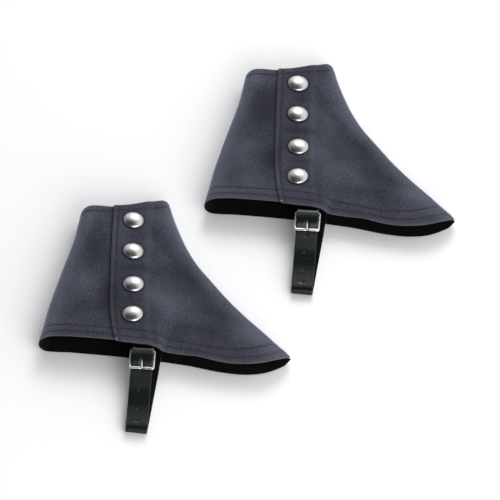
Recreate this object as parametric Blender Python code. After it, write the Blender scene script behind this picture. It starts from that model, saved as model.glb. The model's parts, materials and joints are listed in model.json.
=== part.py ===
"""A pair of boot covers (spats), laid on their inner sides with the hems towards the viewer.

Each cover is a felt tube in three panels over a black lining. The front panel laps over the
back one and is held by four domed snap buttons, and a buckled strap runs under the foot.
"""

import math

import bmesh
import bpy
import numpy as np
from mathutils import Vector


def table(columns, *rows):
    """A small table, as one array for each named column."""
    return dict(zip(columns.split(), np.array(rows, dtype=float).T))


# Sizes are in millimetres: x runs from heel to toe, y up the leg and z up from the table.
# v is the height on the cover, 0 at the hem and 1 at the top edge.
# u is the place across a section, 0 at the heel edge and 1 at the instep edge.
MM = 0.001
FELT = 2.0
LINING = 1.0
GAP = 0.3
LINING_GAP = 0.4
SEAM_HALF_GAP = 0.18
SHARP_ANGLE = math.radians(40)

HEEL_HEM_Y = -3.5
HEEL_TOP_Y = 187.0
TOE_Y = -18.6
INSTEP_TOP_Y = 205.5

HEM = table(
    "u y",
    (0.00, -3.5),
    (0.09, -2.8),
    (0.21, -6.0),
    (0.36, -11.3),
    (0.49, -17.5),
    (0.60, -23.6),
    (0.72, -32.5),
    (0.83, -36.3),
    (0.90, -33.6),
    (0.95, -27.5),
    (1.00, -18.6),
)
TOP = table(
    "u y",
    (0.00, 187.0),
    (0.16, 188.3),
    (0.37, 190.0),
    (0.54, 193.2),
    (0.71, 198.2),
    (0.90, 203.9),
    (1.00, 205.5),
)
HEEL = table(
    "v x",
    (0.00, 0.0),
    (0.10, 4.5),
    (0.25, 10.3),
    (0.40, 17.8),
    (0.55, 25.9),
    (0.70, 34.5),
    (0.80, 39.9),
    (0.90, 43.6),
    (1.00, 47.3),
)
INSTEP = table(
    "v x",
    (0.00, 286.8),
    (0.04, 280.2),
    (0.08, 271.7),
    (0.15, 258.2),
    (0.25, 238.2),
    (0.35, 219.8),
    (0.50, 196.0),
    (0.60, 180.9),
    (0.70, 169.5),
    (0.80, 160.9),
    (0.90, 153.8),
    (1.00, 148.0),
)

# How far the puffed cover stands up from the table, at five heights.
THICKNESS_V = np.array([0.0, 0.12, 0.4, 0.7, 1.0])
THICKNESS = table(
    "u hem low mid high top",
    (0.00, 22.5, 23.2, 28.2, 29.5, 31.0),
    (0.10, 23.2, 23.7, 28.2, 29.5, 31.4),
    (0.22, 23.8, 24.0, 27.2, 28.0, 30.4),
    (0.30, 23.8, 24.0, 26.7, 27.5, 28.6),
    (0.37, 22.8, 23.7, 27.6, 27.6, 27.2),
    (0.44, 22.6, 23.6, 27.9, 27.2, 26.2),
    (0.51, 21.9, 23.2, 27.4, 26.5, 25.0),
    (0.56, 20.8, 22.8, 26.2, 25.6, 24.4),
    (0.64, 22.6, 22.9, 24.0, 24.6, 23.6),
    (0.74, 20.8, 22.4, 22.6, 23.5, 22.6),
    (0.85, 22.6, 22.4, 21.0, 22.0, 21.6),
    (0.93, 21.6, 20.4, 19.0, 20.0, 20.4),
    (1.00, 14.0, 15.0, 15.0, 16.0, 17.0),
)
# The heel half of the hem is propped up on the buckle, and drops just in front of it.
PROP_LIFT = 8.0
PROP_X = 132.5
PROP_FALL = 12.0
PROP_SPREAD = 60.0
PROP_V = 0.5
HEEL_ROUND = 14.0
INSTEP_ROUND = 7.0
SLANT_STEP = 0.01

# The folded edge of the front panel, which laps over the back panel.
FLAP_EDGE = table(
    "v x",
    (0.00, 87.0),
    (0.08, 83.6),
    (0.18, 81.7),
    (0.55, 81.5),
    (0.80, 83.0),
    (1.00, 84.8),
)
UNDERLAP = 37.0
LAP_EASE = 10.0
LAP_LIFT = FELT + GAP
HEM_DROP = 3.0
HEM_DROP_END_X = 190.0
HEM_DROP_V = 0.12

# The lining stops short of the felt on the upper side and rolls out past it on the under side.
LINING_HEM_V = 0.008
LINING_PROUD = 3.5
LINING_PROUD_V = 0.05
LINING_TOP_V = 0.992
UNDER_FELT_HEM_V = 0.012

# The columns of the panels: even steps behind the flap and on the underlap, then these shares.
BACK_CELLS = 4
LAP_CELLS = 4
FRONT_SHARES = np.array([0.0, 0.06, 0.10, 0.145, 0.25, 0.40, 0.55, 0.70, 0.82, 0.91, 1.0])
UNDER_SHARES = np.array([0.0, 0.2, 0.4, 0.55, 0.7, 0.8, 0.87, 0.94, 1.0])
HEEL_STEPS = 4
INSTEP_STEPS = 3
ROWS_V = (0.0, 0.035, 0.08, 0.14, 0.22, 0.32, 0.43, 0.54, 0.65, 0.76, 0.88, 1.0)

# Snap buttons: their middles on the front panel, and the profile of one cap.
BUTTONS = table(
    "x y",
    (107.2, 168.7),
    (107.0, 121.9),
    (107.5, 71.9),
    (106.8, 26.8),
)
BUTTON_RADIUS = 11.5
BUTTON_BACK_RADIUS = 10.9
BUTTON_EDGE = 1.0
BUTTON_DOME = 5.0
BUTTON_ANGLES = np.radians((10, 32, 55, 75))
BUTTON_SIDES = 20
SEAT_HALVINGS = 30

# The strap runs under the buckle's end bar, over its heel bar and in under the hem.
STRAP_WIDTH = 24.4
STRAP_THICK = 1.5
STRAP_HOLE = 2.2
FOLD_X = 111.5
FOLD_Y = -118.0
FOLD_RADIUS = 4.4
FOLD_STEPS = 8
UPPER_LEAN = math.radians(4.0)
UNDER_LEAN = math.radians(8.3)
STRAP_UPPER = table(
    "y z",
    (5.0, 24.4),
    (-5.0, 24.4),
    (-13.0, 24.5),
    (-15.6, 25.2),
    (-17.0, 26.35),
    (-18.4, 27.6),
    (-20.5, 28.35),
    (-25.0, 28.4),
    (-29.0, 27.8),
    (-30.8, 27.1),
    (-33.5, 24.9),
    (-36.0, 22.2),
    (-37.4, 20.7),
    (-40.3, 18.4),
    (-43.0, 17.8),
    (-48.0, 17.5),
    (-60.0, 16.1),
    (-78.0, 13.7),
    (-98.0, 11.1),
    (-110.0, 9.9),
)
STRAP_HOLE_START_Y = -30.0
STRAP_HOLE_END_Y = -37.5
STRAP_UNDER = table(
    "y z",
    (-98.0, 0.75),
    (-78.0, 0.75),
    (-58.0, 0.75),
    (-40.0, 0.75),
    (-31.0, 1.3),
    (-24.0, 3.2),
    (-18.0, 4.45),
    (-8.0, 4.45),
    (15.0, 4.45),
)

# The buckle: a frame whose heel bar carries the prong and the anchor tab.
HEEL_BAR_Y = -20.5
HEEL_BAR_Z = 24.2
END_BAR_Y = -42.5
END_BAR_Z = 20.5
BAR_RADIUS = 1.5
FRAME_INNER_WIDTH = 25.0
SIDE_BAR = 2.2
CORNER_RADIUS = 2.4
CORNER_STEPS = 3
WIRE_SIDES = 8

PRONG_HALF_WIDTH = 1.25
PRONG_EYE_HALF = 0.6
PRONG_HALF_THICK = 0.8
PRONG_EYE_STEPS = 9
PRONG_EYE_START = math.radians(-30.0)
PRONG_EYE_END = math.radians(-295.0)
PRONG_SHARES = (0.2, 0.6, 0.92)
PRONG_TIP_TAPER = 0.6
PRONG_OVERHANG = 1.3

TAB_THICK = 1.2
TAB_LAYERS = table(
    "y upper_z lower_z",
    (9.0, 22.75, 21.25),
    (-4.0, 22.75, 21.25),
    (-13.0, 22.75, 21.25),
    (-15.4, 23.25, 21.35),
    (-18.0, 25.05, 21.8),
)
TAB_SLOT = 2.0
TAB_SLOT_Y = -15.4
TAB_LOOP_STEPS = 8

# The second cover lies lower and to the left of the first.
COVERS = (("upper", (0.0, 0.0, 0.0)), ("lower", (-187.0, -202.7, 0.0)))

FELT_COLOUR = (0.068, 0.070, 0.092)
FELT_ROUGHNESS = 0.95
LINING_COLOUR = (0.008, 0.008, 0.009)
LINING_ROUGHNESS = 0.9
STRAP_COLOUR = (0.012, 0.014, 0.013)
NICKEL_COLOUR = (0.62, 0.60, 0.56)
GLOSS_ROUGHNESS = 0.25


def smooth(at, places, values):
    """A smooth curve through a table's points, read at one place."""
    slopes = np.gradient(values, places)
    i = int(np.clip(np.searchsorted(places, at) - 1, 0, len(places) - 2))
    width = places[i + 1] - places[i]
    t = (at - places[i]) / width
    left = values[i] * (1 + 2 * t) * (1 - t) ** 2 + slopes[i] * width * t * (1 - t) ** 2
    right = values[i + 1] * t * t * (3 - 2 * t) + slopes[i + 1] * width * t * t * (t - 1)
    return float(left + right)


def ease(value):
    """A soft step from 0 to 1."""
    value = min(max(value, 0.0), 1.0)
    return value * value * (3 - 2 * value)


def heel_x(v):
    return smooth(v, HEEL["v"], HEEL["x"])


def instep_x(v):
    return smooth(v, INSTEP["v"], INSTEP["x"])


def instep_slant(v):
    """How much longer a level run is than the true distance in from the slanting instep edge."""
    low, high = max(v - SLANT_STEP, 0.0), min(v + SLANT_STEP, 1.0)
    run = instep_x(high) - instep_x(low)
    rise = (INSTEP_TOP_Y - TOE_Y) * (high - low)
    return math.hypot(run, rise) / rise


def plan_y(u, v):
    """How far up the table a point lies: a patch between the hem, the top and the two edges."""
    hem = smooth(u, HEM["u"], HEM["y"])
    top = smooth(u, TOP["u"], TOP["y"])
    heel = HEEL_HEM_Y + (HEEL_TOP_Y - HEEL_HEM_Y) * v
    instep = TOE_Y + (INSTEP_TOP_Y - TOE_Y) * v
    corners = (1 - v) * ((1 - u) * HEEL_HEM_Y + u * TOE_Y)
    corners += v * ((1 - u) * HEEL_TOP_Y + u * INSTEP_TOP_Y)
    return (1 - v) * hem + v * top + (1 - u) * heel + u * instep - corners


def thickness(u, v):
    across = [smooth(u, THICKNESS["u"], THICKNESS[name]) for name in ("hem", "low", "mid", "high", "top")]
    fall = ease((x_of(u, v) - PROP_X) / (PROP_FALL + PROP_SPREAD * v))
    return smooth(v, THICKNESS_V, np.array(across)) + PROP_LIFT * (1 - fall) * (1 - ease(v / PROP_V))


def u_of(x, v):
    return (x - heel_x(v)) / (instep_x(v) - heel_x(v))


def x_of(u, v):
    return heel_x(v) + u * (instep_x(v) - heel_x(v))


def skin(place, v, side, inset):
    """A point of the tube, `inset` millimetres in from the felt's outer face.

    place is ("heel", angle), ("flat", x) or ("instep", angle), an angle running from 0 on the
    edge to a quarter turn on the flat. side is 1 on the upper side and -1 on the under side.
    """
    zone, value = place
    edge = 0.0
    rise = 1.0
    x = value
    if zone == "heel":
        x = heel_x(v) + inset + (HEEL_ROUND - inset) * (1 - math.cos(value))
        edge = thickness(0.0, v) / 2
        rise = math.sin(value)
    if zone == "instep":
        inward = inset + (INSTEP_ROUND - inset) * (1 - math.cos(value))
        x = instep_x(v) - inward * instep_slant(v)
        edge = thickness(1.0, v) / 2
        rise = math.sin(value)
    u = u_of(x, v)
    flat = thickness(u, v) - inset if side > 0 else inset
    return Vector((x, plan_y(u, v), edge + (flat - edge) * rise))


def round_places(zone, steps, seam):
    """Places round an edge, from the flat to the seam: `seam` leaves half a gap open there."""
    radius = HEEL_ROUND if zone == "heel" else INSTEP_ROUND
    first = SEAM_HALF_GAP / radius if seam else 0.0
    return [(zone, angle) for angle in np.linspace(math.pi / 2, first, steps + 1)]


def heel_flat(v):
    return heel_x(v) + HEEL_ROUND


def instep_flat(v):
    return instep_x(v) - INSTEP_ROUND * instep_slant(v)


def flap_x(v):
    return smooth(v, FLAP_EDGE["v"], FLAP_EDGE["x"])


def lap_lift(x, v):
    """The front panel rides over the back panel's underlap, then comes down onto the lining."""
    return LAP_LIFT * (1 - ease((x - flap_x(v) - UNDERLAP) / LAP_EASE))


def hem_drop(x, v):
    """The front panel's hem hangs a little lower than the back panel's."""
    along = (x - flap_x(0.0)) / (HEM_DROP_END_X - flap_x(0.0))
    return HEM_DROP * (1 - ease(along)) * (1 - ease(v / HEM_DROP_V))


def front_point(place, v, depth):
    """A point of the front panel, `depth` millimetres under its face."""
    at = skin(place, v, 1, 0.0)
    point = skin(place, v, 1, depth - lap_lift(at.x, v))
    point.y -= hem_drop(at.x, v)
    return point


def lining_point(place, v, side, inset):
    """A point of the lining: its hem follows the front panel above and rolls out past the felt below."""
    point = skin(place, v, side, inset)
    turn = 1.0 if place[0] == "flat" else math.sin(place[1])
    under = (1 - side * turn) / 2
    lap = ease((point.x - flap_x(0.0)) / UNDERLAP)
    point.y -= hem_drop(point.x, v) * lap * (1 - under)
    point.y -= LINING_PROUD * under * (1 - ease(v / LINING_PROUD_V))
    return point


def build_mesh(name, points, faces):
    """A closed mesh from points in millimetres, with its faces turned outwards."""
    work = bmesh.new()
    corners = [work.verts.new(point * MM) for point in points]
    for face in faces:
        work.faces.new([corners[i] for i in face])
    loose = [corner for corner in work.verts if not corner.link_faces]
    bmesh.ops.delete(work, geom=loose, context="VERTS")
    bmesh.ops.recalc_face_normals(work, faces=work.faces[:])
    mesh = bpy.data.meshes.new(name)
    work.to_mesh(mesh)
    work.free()
    mesh.shade_smooth()
    mesh.set_sharp_from_angle(angle=SHARP_ANGLE)
    return mesh


def wall(name, outer, inner, ring=False, open_cell=None):
    """A cloth wall between two grids of points, closed round its edges.

    ring joins the last column to the first. open_cell(row, column) says which cells are cut out.
    """
    rows, columns = len(outer), len(outer[0])
    points = [point for grid in (outer, inner) for row in grid for point in row]
    across = columns if ring else columns - 1

    def index(layer, row, column):
        return (layer * rows + row) * columns + column % columns

    faces = []
    edges = {}
    for row in range(rows - 1):
        for column in range(across):
            if open_cell and open_cell(row, column):
                continue
            cell = [(row, column), (row, column + 1), (row + 1, column + 1), (row + 1, column)]
            for half in (cell[:3], [cell[0], *cell[2:]]):
                faces.append([index(0, *corner) for corner in half])
                faces.append([index(1, *corner) for corner in reversed(half)])
            for a, b in zip(cell, cell[1:] + cell[:1]):
                a, b = (a[0], a[1] % columns), (b[0], b[1] % columns)
                if (b, a) in edges:
                    del edges[(b, a)]
                else:
                    edges[(a, b)] = True
    for a, b in edges:
        faces.append([index(0, *b), index(0, *a), index(1, *a), index(1, *b)])
    return build_mesh(name, points, faces)


def sweep(name, middles, widths, normals, half_widths, half_heights, closed=False):
    """A bar with a rounded section, carried along its middle line."""
    points = []
    for middle, width, normal, across, up in zip(middles, widths, normals, half_widths, half_heights):
        for step in range(WIRE_SIDES):
            angle = math.tau * (step + 0.5) / WIRE_SIDES
            points.append(middle + width * across * math.cos(angle) + normal * up * math.sin(angle))
    count = len(middles)
    faces = []
    for i in range(count if closed else count - 1):
        for step in range(WIRE_SIDES):
            after = (step + 1) % WIRE_SIDES
            a, b = i * WIRE_SIDES, ((i + 1) % count) * WIRE_SIDES
            faces.append([a + step, a + after, b + after, b + step])
    if not closed:
        faces.append(list(range(WIRE_SIDES))[::-1])
        faces.append([(count - 1) * WIRE_SIDES + step for step in range(WIRE_SIDES)])
    return build_mesh(name, points, faces)


def upper_places(v, start, end):
    """The flat columns of the upper side, shared by the panels and the lining so that they nest.

    start and end count the three stretches: back of the flap, the underlap, and the front.
    """
    lap_end = flap_x(v) + UNDERLAP
    stretches = [
        np.linspace(heel_flat(v), flap_x(v), BACK_CELLS + 1),
        np.linspace(flap_x(v), lap_end, LAP_CELLS + 1),
        lap_end + (instep_flat(v) - lap_end) * FRONT_SHARES,
    ]
    places = list(stretches[start])
    for stretch in stretches[start + 1 : end]:
        places += list(stretch[1:])
    return [("flat", x) for x in places]


def under_places(v):
    return [("flat", x) for x in heel_flat(v) + (instep_flat(v) - heel_flat(v)) * UNDER_SHARES]


def front_panel():
    def grid(depth):
        rows = []
        for v in ROWS_V:
            places = upper_places(v, 1, 3) + round_places("instep", INSTEP_STEPS, True)[1:]
            rows.append([front_point(place, v, depth) for place in places])
        return rows

    return wall("outer_front", grid(0.0), grid(FELT))


def back_panel():
    def grid(inset):
        rows = []
        for v in ROWS_V:
            places = round_places("heel", HEEL_STEPS, True)[:0:-1] + upper_places(v, 0, 2)
            rows.append([skin(place, v, 1, inset) for place in places])
        return rows

    return wall("outer_back", grid(0.0), grid(FELT))


def under_panel():
    def grid(inset):
        rows = []
        for v in (UNDER_FELT_HEM_V, *ROWS_V[1:]):
            places = round_places("heel", HEEL_STEPS, True)[:0:-1] + under_places(v)
            places += round_places("instep", INSTEP_STEPS, True)[1:]
            rows.append([skin(place, v, -1, inset) for place in places])
        return rows

    return wall("inner_side", grid(0.0), grid(FELT))


def lining_tube():
    heel = round_places("heel", HEEL_STEPS, False)
    instep = round_places("instep", INSTEP_STEPS, False)

    def grid(inset):
        rows = []
        for v in (LINING_HEM_V, *ROWS_V[1:-1], LINING_TOP_V):
            upper = heel[::-1] + upper_places(v, 0, 3)[1:] + instep[1:]
            under = instep[-2::-1] + under_places(v)[-2::-1] + heel[1:-1]
            ring = [lining_point(place, v, 1, inset) for place in upper]
            ring += [lining_point(place, v, -1, inset) for place in under]
            rows.append(ring)
        return rows

    outer_inset = FELT + LINING_GAP
    return wall("lining", grid(outer_inset), grid(outer_inset + LINING), ring=True)


def button_cap():
    """A snap cap: a flat back, a small rolled edge and a low dome."""
    profile = [Vector((BUTTON_BACK_RADIUS, 0.0)), Vector((BUTTON_RADIUS, BUTTON_EDGE / 2))]
    for angle in BUTTON_ANGLES:
        height = BUTTON_EDGE + (BUTTON_DOME - BUTTON_EDGE) * math.sin(angle)
        profile.append(Vector((BUTTON_RADIUS * math.cos(angle), height)))
    points = [Vector((0, 0, 0)), Vector((0, 0, BUTTON_DOME))]
    for step in range(BUTTON_SIDES):
        turn = math.tau * step / BUTTON_SIDES
        points += [Vector((p.x * math.cos(turn), p.x * math.sin(turn), p.y)) for p in profile]
    size = len(profile)
    faces = []
    for step in range(BUTTON_SIDES):
        a = 2 + step * size
        b = 2 + (step + 1) % BUTTON_SIDES * size
        faces.append([0, b, a])
        faces += [[a + i, b + i, b + i + 1, a + i + 1] for i in range(size - 1)]
        faces.append([a + size - 1, b + size - 1, 1])
    return build_mesh("button", points, faces)


def button_seats():
    """Where each button stands on the front panel, and which way it faces."""
    seats = []
    for x, y in zip(BUTTONS["x"], BUTTONS["y"]):
        low, high = 0.0, 1.0
        for _ in range(SEAT_HALVINGS):
            v = (low + high) / 2
            low, high = (v, high) if front_point(("flat", x), v, 0.0).y < y else (low, v)
        reach = BUTTON_RADIUS / 2
        rise = reach / (HEEL_TOP_Y - HEEL_HEM_Y)
        middle = front_point(("flat", x), v, 0.0)
        along = front_point(("flat", x + reach), v, 0.0) - front_point(("flat", x - reach), v, 0.0)
        up = front_point(("flat", x), v + rise, 0.0) - front_point(("flat", x), v - rise, 0.0)
        normal = along.cross(up).normalized()
        rim = [
            front_point(("flat", x + dx * BUTTON_RADIUS), v + dv * 2 * rise, 0.0)
            for dx in (-1, 0, 1)
            for dv in (-1, 0, 1)
        ]
        bulge = max((point - middle).dot(normal) for point in rim)
        seats.append((middle + normal * (GAP + max(bulge, 0.0)), normal))
    return seats


def ribbon_axes(middles, leans):
    """The width and normal of a ribbon at each of its stations."""
    widths, normals = [], []
    for i, lean in enumerate(leans):
        width = Vector((math.cos(lean), -math.sin(lean), 0))
        tangent = middles[min(i + 1, len(middles) - 1)] - middles[max(i - 1, 0)]
        normal = width.cross(tangent).normalized()
        widths.append(width)
        normals.append(normal)
    return widths, normals


def ribbon(name, middles, leans, width, thick, hole, is_hole):
    """A flat strap along its stations, with a slot down its middle where is_hole says so.

    hole is half the slot's width.
    """
    widths, normals = ribbon_axes(middles, leans)
    offsets = (-width / 2, -hole, hole, width / 2)

    def grid(side):
        return [
            [middle + across * offset + normal * side * thick / 2 for offset in offsets]
            for middle, across, normal in zip(middles, widths, normals)
        ]

    def open_cell(row, column):
        return column == 1 and is_hole(row, (middles[row].y + middles[row + 1].y) / 2)

    return wall(name, grid(1), grid(-1), open_cell=open_cell)


def on_line(y, lean):
    """Where the strap's middle line is at this height, on a run that leans off the y axis."""
    return FOLD_X + math.tan(lean) * (y - FOLD_Y)


def strap_mesh():
    middles = [Vector((on_line(y, UPPER_LEAN), y, z)) for y, z in zip(STRAP_UPPER["y"], STRAP_UPPER["z"])]
    leans = [UPPER_LEAN] * len(middles)
    fold_z = STRAP_THICK / 2 + FOLD_RADIUS
    for step in range(FOLD_STEPS + 1):
        turn = math.pi * step / FOLD_STEPS
        out = FOLD_RADIUS * math.sin(turn)
        lean = UPPER_LEAN + (UNDER_LEAN - UPPER_LEAN) * step / FOLD_STEPS
        x = FOLD_X - out * math.sin(lean)
        y = FOLD_Y - out * math.cos(lean)
        middles.append(Vector((x, y, fold_z + FOLD_RADIUS * math.cos(turn))))
        leans.append(lean)
    for y, z in zip(STRAP_UNDER["y"], STRAP_UNDER["z"]):
        middles.append(Vector((on_line(y, UNDER_LEAN), y, z)))
        leans.append(UNDER_LEAN)
    upper = len(STRAP_UPPER["y"])

    def is_hole(row, y):
        return row < upper and STRAP_HOLE_END_Y < y < STRAP_HOLE_START_Y

    return ribbon("strap", middles, leans, STRAP_WIDTH, STRAP_THICK, STRAP_HOLE, is_hole)


def tab_mesh():
    """The anchor tab: from under the hem, round the heel bar and back under itself."""
    radius = BAR_RADIUS + GAP + TAB_THICK / 2
    upper = list(zip(TAB_LAYERS["y"], TAB_LAYERS["upper_z"]))
    lower = list(zip(TAB_LAYERS["y"], TAB_LAYERS["lower_z"]))[::-1]
    loop = []
    for turn in np.linspace(math.pi / 2, math.pi * 3 / 2, TAB_LOOP_STEPS + 1):
        loop.append((HEEL_BAR_Y + radius * math.cos(turn), HEEL_BAR_Z + radius * math.sin(turn)))
    middles = [Vector((on_line(y, UPPER_LEAN), y, z)) for y, z in upper + loop + lower]
    leans = [UPPER_LEAN] * len(middles)

    def is_slot(_, y):
        return y < TAB_SLOT_Y

    return ribbon("buckle_tab", middles, leans, STRAP_WIDTH, TAB_THICK, TAB_SLOT, is_slot)


def buckle_axes():
    """The buckle's own frame: its heel bar's middle, across, along to the end bar, and up."""
    heel = Vector((on_line(HEEL_BAR_Y, UPPER_LEAN), HEEL_BAR_Y, HEEL_BAR_Z))
    end = Vector((on_line(END_BAR_Y, UPPER_LEAN), END_BAR_Y, END_BAR_Z))
    across = Vector((math.cos(UPPER_LEAN), -math.sin(UPPER_LEAN), 0))
    along = (end - heel).normalized()
    return heel, across, along, along.cross(across).normalized(), (end - heel).length


def frame_mesh():
    heel, across, along, up, length = buckle_axes()
    half = (FRAME_INNER_WIDTH + SIDE_BAR) / 2
    corners = ((half, 0.0, 0), (half, length, 1), (-half, length, 2), (-half, 0.0, 3))
    middles, widths, halves, heights = [], [], [], []
    for x, y, quarter in corners:
        inward_x = -math.copysign(CORNER_RADIUS, x)
        inward_y = CORNER_RADIUS if y == 0.0 else -CORNER_RADIUS
        centre = (x + inward_x, y + inward_y)
        for step in range(CORNER_STEPS + 1):
            turn = math.radians(-90 + 90 * quarter + 90 * step / CORNER_STEPS)
            out = (math.cos(turn), math.sin(turn))
            place = (centre[0] + CORNER_RADIUS * out[0], centre[1] + CORNER_RADIUS * out[1])
            middles.append(heel + across * place[0] + along * place[1])
            widths.append(across * out[0] + along * out[1])
            on_bar = abs(out[1])
            halves.append(SIDE_BAR / 2 + (BAR_RADIUS - SIDE_BAR / 2) * on_bar)
            heights.append(BAR_RADIUS)
    return sweep("buckle_frame", middles, widths, [up] * len(middles), halves, heights, closed=True)


def prong_mesh():
    """A wire that is curled round the heel bar and reaches across to the end bar."""
    radius = BAR_RADIUS + GAP + PRONG_EYE_HALF
    heel, across, _, _, _ = buckle_axes()
    forward = Vector((across.y, -across.x, 0))
    path = []
    for angle in np.linspace(PRONG_EYE_START, PRONG_EYE_END, PRONG_EYE_STEPS + 1):
        out, rise = radius * math.cos(angle), radius * math.sin(angle)
        path.append((out, rise, PRONG_EYE_HALF))
    tip_out = HEEL_BAR_Y - END_BAR_Y + PRONG_OVERHANG
    tip_rise = END_BAR_Z - HEEL_BAR_Z + BAR_RADIUS + GAP + PRONG_HALF_THICK
    eye_out, eye_rise, _ = path[-1]
    for share in PRONG_SHARES:
        out = eye_out + (tip_out - eye_out) * share
        rise = eye_rise + (tip_rise - eye_rise) * share / PRONG_SHARES[-1]
        path.append((out, rise, PRONG_HALF_THICK))
    path.append((tip_out, tip_rise, PRONG_HALF_THICK * PRONG_TIP_TAPER))
    middles = [heel + forward * out + Vector((0, 0, rise)) for out, rise, _ in path]
    widths = [across] * len(path)
    normals = []
    for i in range(len(path)):
        tangent = middles[min(i + 1, len(path) - 1)] - middles[max(i - 1, 0)]
        normals.append(across.cross(tangent).normalized())
    halves = [PRONG_HALF_WIDTH] * (len(path) - 1) + [PRONG_HALF_WIDTH * PRONG_TIP_TAPER]
    return sweep("buckle_prong", middles, widths, normals, halves, [thick for _, _, thick in path])


def finish(name, colour, roughness, metallic=0.0):
    """A plain Principled material."""
    material = bpy.data.materials.new(name)
    material.use_nodes = True
    shader = material.node_tree.nodes["Principled BSDF"]
    shader.inputs["Base Color"].default_value = (*colour, 1.0)
    shader.inputs["Roughness"].default_value = roughness
    shader.inputs["Metallic"].default_value = metallic
    material.diffuse_color = (*colour, 1.0)
    return material


def cover_meshes():
    """The meshes of one cover: name, mesh, finish, and the seat of a piece that stands on another."""
    felt = finish("slate felt", FELT_COLOUR, FELT_ROUGHNESS)
    black = finish("black lining", LINING_COLOUR, LINING_ROUGHNESS)
    leather = finish("black patent leather", STRAP_COLOUR, GLOSS_ROUGHNESS)
    nickel = finish("polished nickel", NICKEL_COLOUR, GLOSS_ROUGHNESS, metallic=1.0)
    pieces = [
        ("outer_front", front_panel(), felt, None),
        ("outer_back", back_panel(), felt, None),
        ("inner_side", under_panel(), felt, None),
        ("lining", lining_tube(), black, None),
        ("strap", strap_mesh(), leather, None),
        ("buckle_tab", tab_mesh(), leather, None),
        ("buckle_frame", frame_mesh(), nickel, None),
        ("buckle_prong", prong_mesh(), nickel, None),
    ]
    cap = button_cap()
    for number, seat in enumerate(button_seats(), start=1):
        pieces.append((f"button_{number}", cap, nickel, seat))
    for _, mesh, material, _ in pieces:
        if not mesh.materials:
            mesh.materials.append(material)
    return pieces


def main():
    for old in list(bpy.data.objects):
        bpy.data.objects.remove(old, do_unlink=True)
    pieces = cover_meshes()
    flat = [vertex.co / MM for _, mesh, _, seat in pieces if seat is None for vertex in mesh.vertices]
    low = Vector([min(point[axis] for point in flat) for axis in range(3)])
    high = Vector([max(point[axis] for point in flat) for axis in range(3)])
    shifts = [Vector(place) for _, place in COVERS]
    low_all = low + Vector([min(shift[axis] for shift in shifts) for axis in range(3)])
    high_all = high + Vector([max(shift[axis] for shift in shifts) for axis in range(3)])
    middle = (low_all + high_all) / 2
    middle.z = low_all.z
    for cover, place in COVERS:
        carrier = bpy.data.objects.new(f"{cover}_cover", None)
        carrier.location = (Vector(place) - middle) * MM
        bpy.context.scene.collection.objects.link(carrier)
        for name, mesh, _, seat in pieces:
            piece = bpy.data.objects.new(f"{cover}_{name}", mesh)
            bpy.context.scene.collection.objects.link(piece)
            piece.parent = carrier
            if seat:
                piece.location = seat[0] * MM
                piece.rotation_euler = seat[1].to_track_quat("Z", "Y").to_euler()


main()
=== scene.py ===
# %% [markdown]
# # A pair of boot covers
# Boot covers, or spats, are felt tubes that go round the ankle and over the laces of a shoe.
# Both lie here on their inner sides, puffed up and hollow, with the hems towards the camera.
# The solids of the object give every place and size. This script dresses them: felt with a nap,
# a black lining, rows of stitches, polished snap caps, and a glossy strap with its buckle.

# %% The frame of solids
import json
import math

import bmesh
import bpy
import numpy as np
from mathutils import Matrix, Vector


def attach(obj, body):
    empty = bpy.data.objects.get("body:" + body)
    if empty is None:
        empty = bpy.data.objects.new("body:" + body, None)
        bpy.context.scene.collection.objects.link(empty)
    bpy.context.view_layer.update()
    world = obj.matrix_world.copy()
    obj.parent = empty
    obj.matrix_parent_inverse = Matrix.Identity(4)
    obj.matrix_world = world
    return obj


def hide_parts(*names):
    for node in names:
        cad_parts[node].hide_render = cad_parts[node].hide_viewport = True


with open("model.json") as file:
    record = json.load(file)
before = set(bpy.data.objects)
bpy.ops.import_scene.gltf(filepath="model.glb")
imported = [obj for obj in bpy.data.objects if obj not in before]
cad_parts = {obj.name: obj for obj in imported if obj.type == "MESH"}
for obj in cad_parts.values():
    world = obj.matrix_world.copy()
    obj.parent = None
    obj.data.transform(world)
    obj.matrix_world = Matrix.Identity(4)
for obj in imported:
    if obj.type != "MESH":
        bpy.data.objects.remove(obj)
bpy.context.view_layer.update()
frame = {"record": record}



# %% [markdown]
# ## Where each cover lies
# One cover is drawn in its own flat frame, in millimetres: x runs from heel to toe, y up the leg
# and z up from the table. Both covers are cut alike, so everything is made once and set down
# twice. The frame gives each cover's resting point, which tells how far to shift the drawing.

# %% The place of each cover
MM = 0.001
REST_POINT = Vector((110.0, 80.0, 0.0))
rest_points = {mount["name"]: Vector(mount["pos_m"]) / MM for mount in frame["record"]["mounts"]}
SHIFTS = {cover: rest_points[f"rest_{cover}"] - REST_POINT for cover in ("upper", "lower")}


def moved_by(shift):
    """The matrix that moves a mesh by a shift in millimetres."""
    return Matrix.Translation(shift * MM)


for cover, shift in SHIFTS.items():
    print(cover, "cover is shifted by", [round(value, 2) for value in shift], "mm")

# %% [markdown]
# ## The pattern of one cover
# A pattern cutter works from a few measured curves. Short tables hold them: the hem and top edge
# from heel to instep, the heel and instep edges from hem to top, and how far the puffed tube
# stands up from the table. u runs across, from heel to instep, and v up, from hem to top.

# %% The pattern tables


def table(columns, *rows):
    """A small table, as one array for each named column."""
    return dict(zip(columns.split(), np.array(rows, dtype=float).T))


FELT = 2.0
LINING = 1.0
GAP = 0.3
LINING_INSET = FELT + 0.4    # the felt, and a hair's gap
SEAM_HALF_GAP = 0.18
HEEL_HEM_Y, HEEL_TOP_Y = -3.5, 187.0
TOE_Y, INSTEP_TOP_Y = -18.6, 205.5

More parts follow.
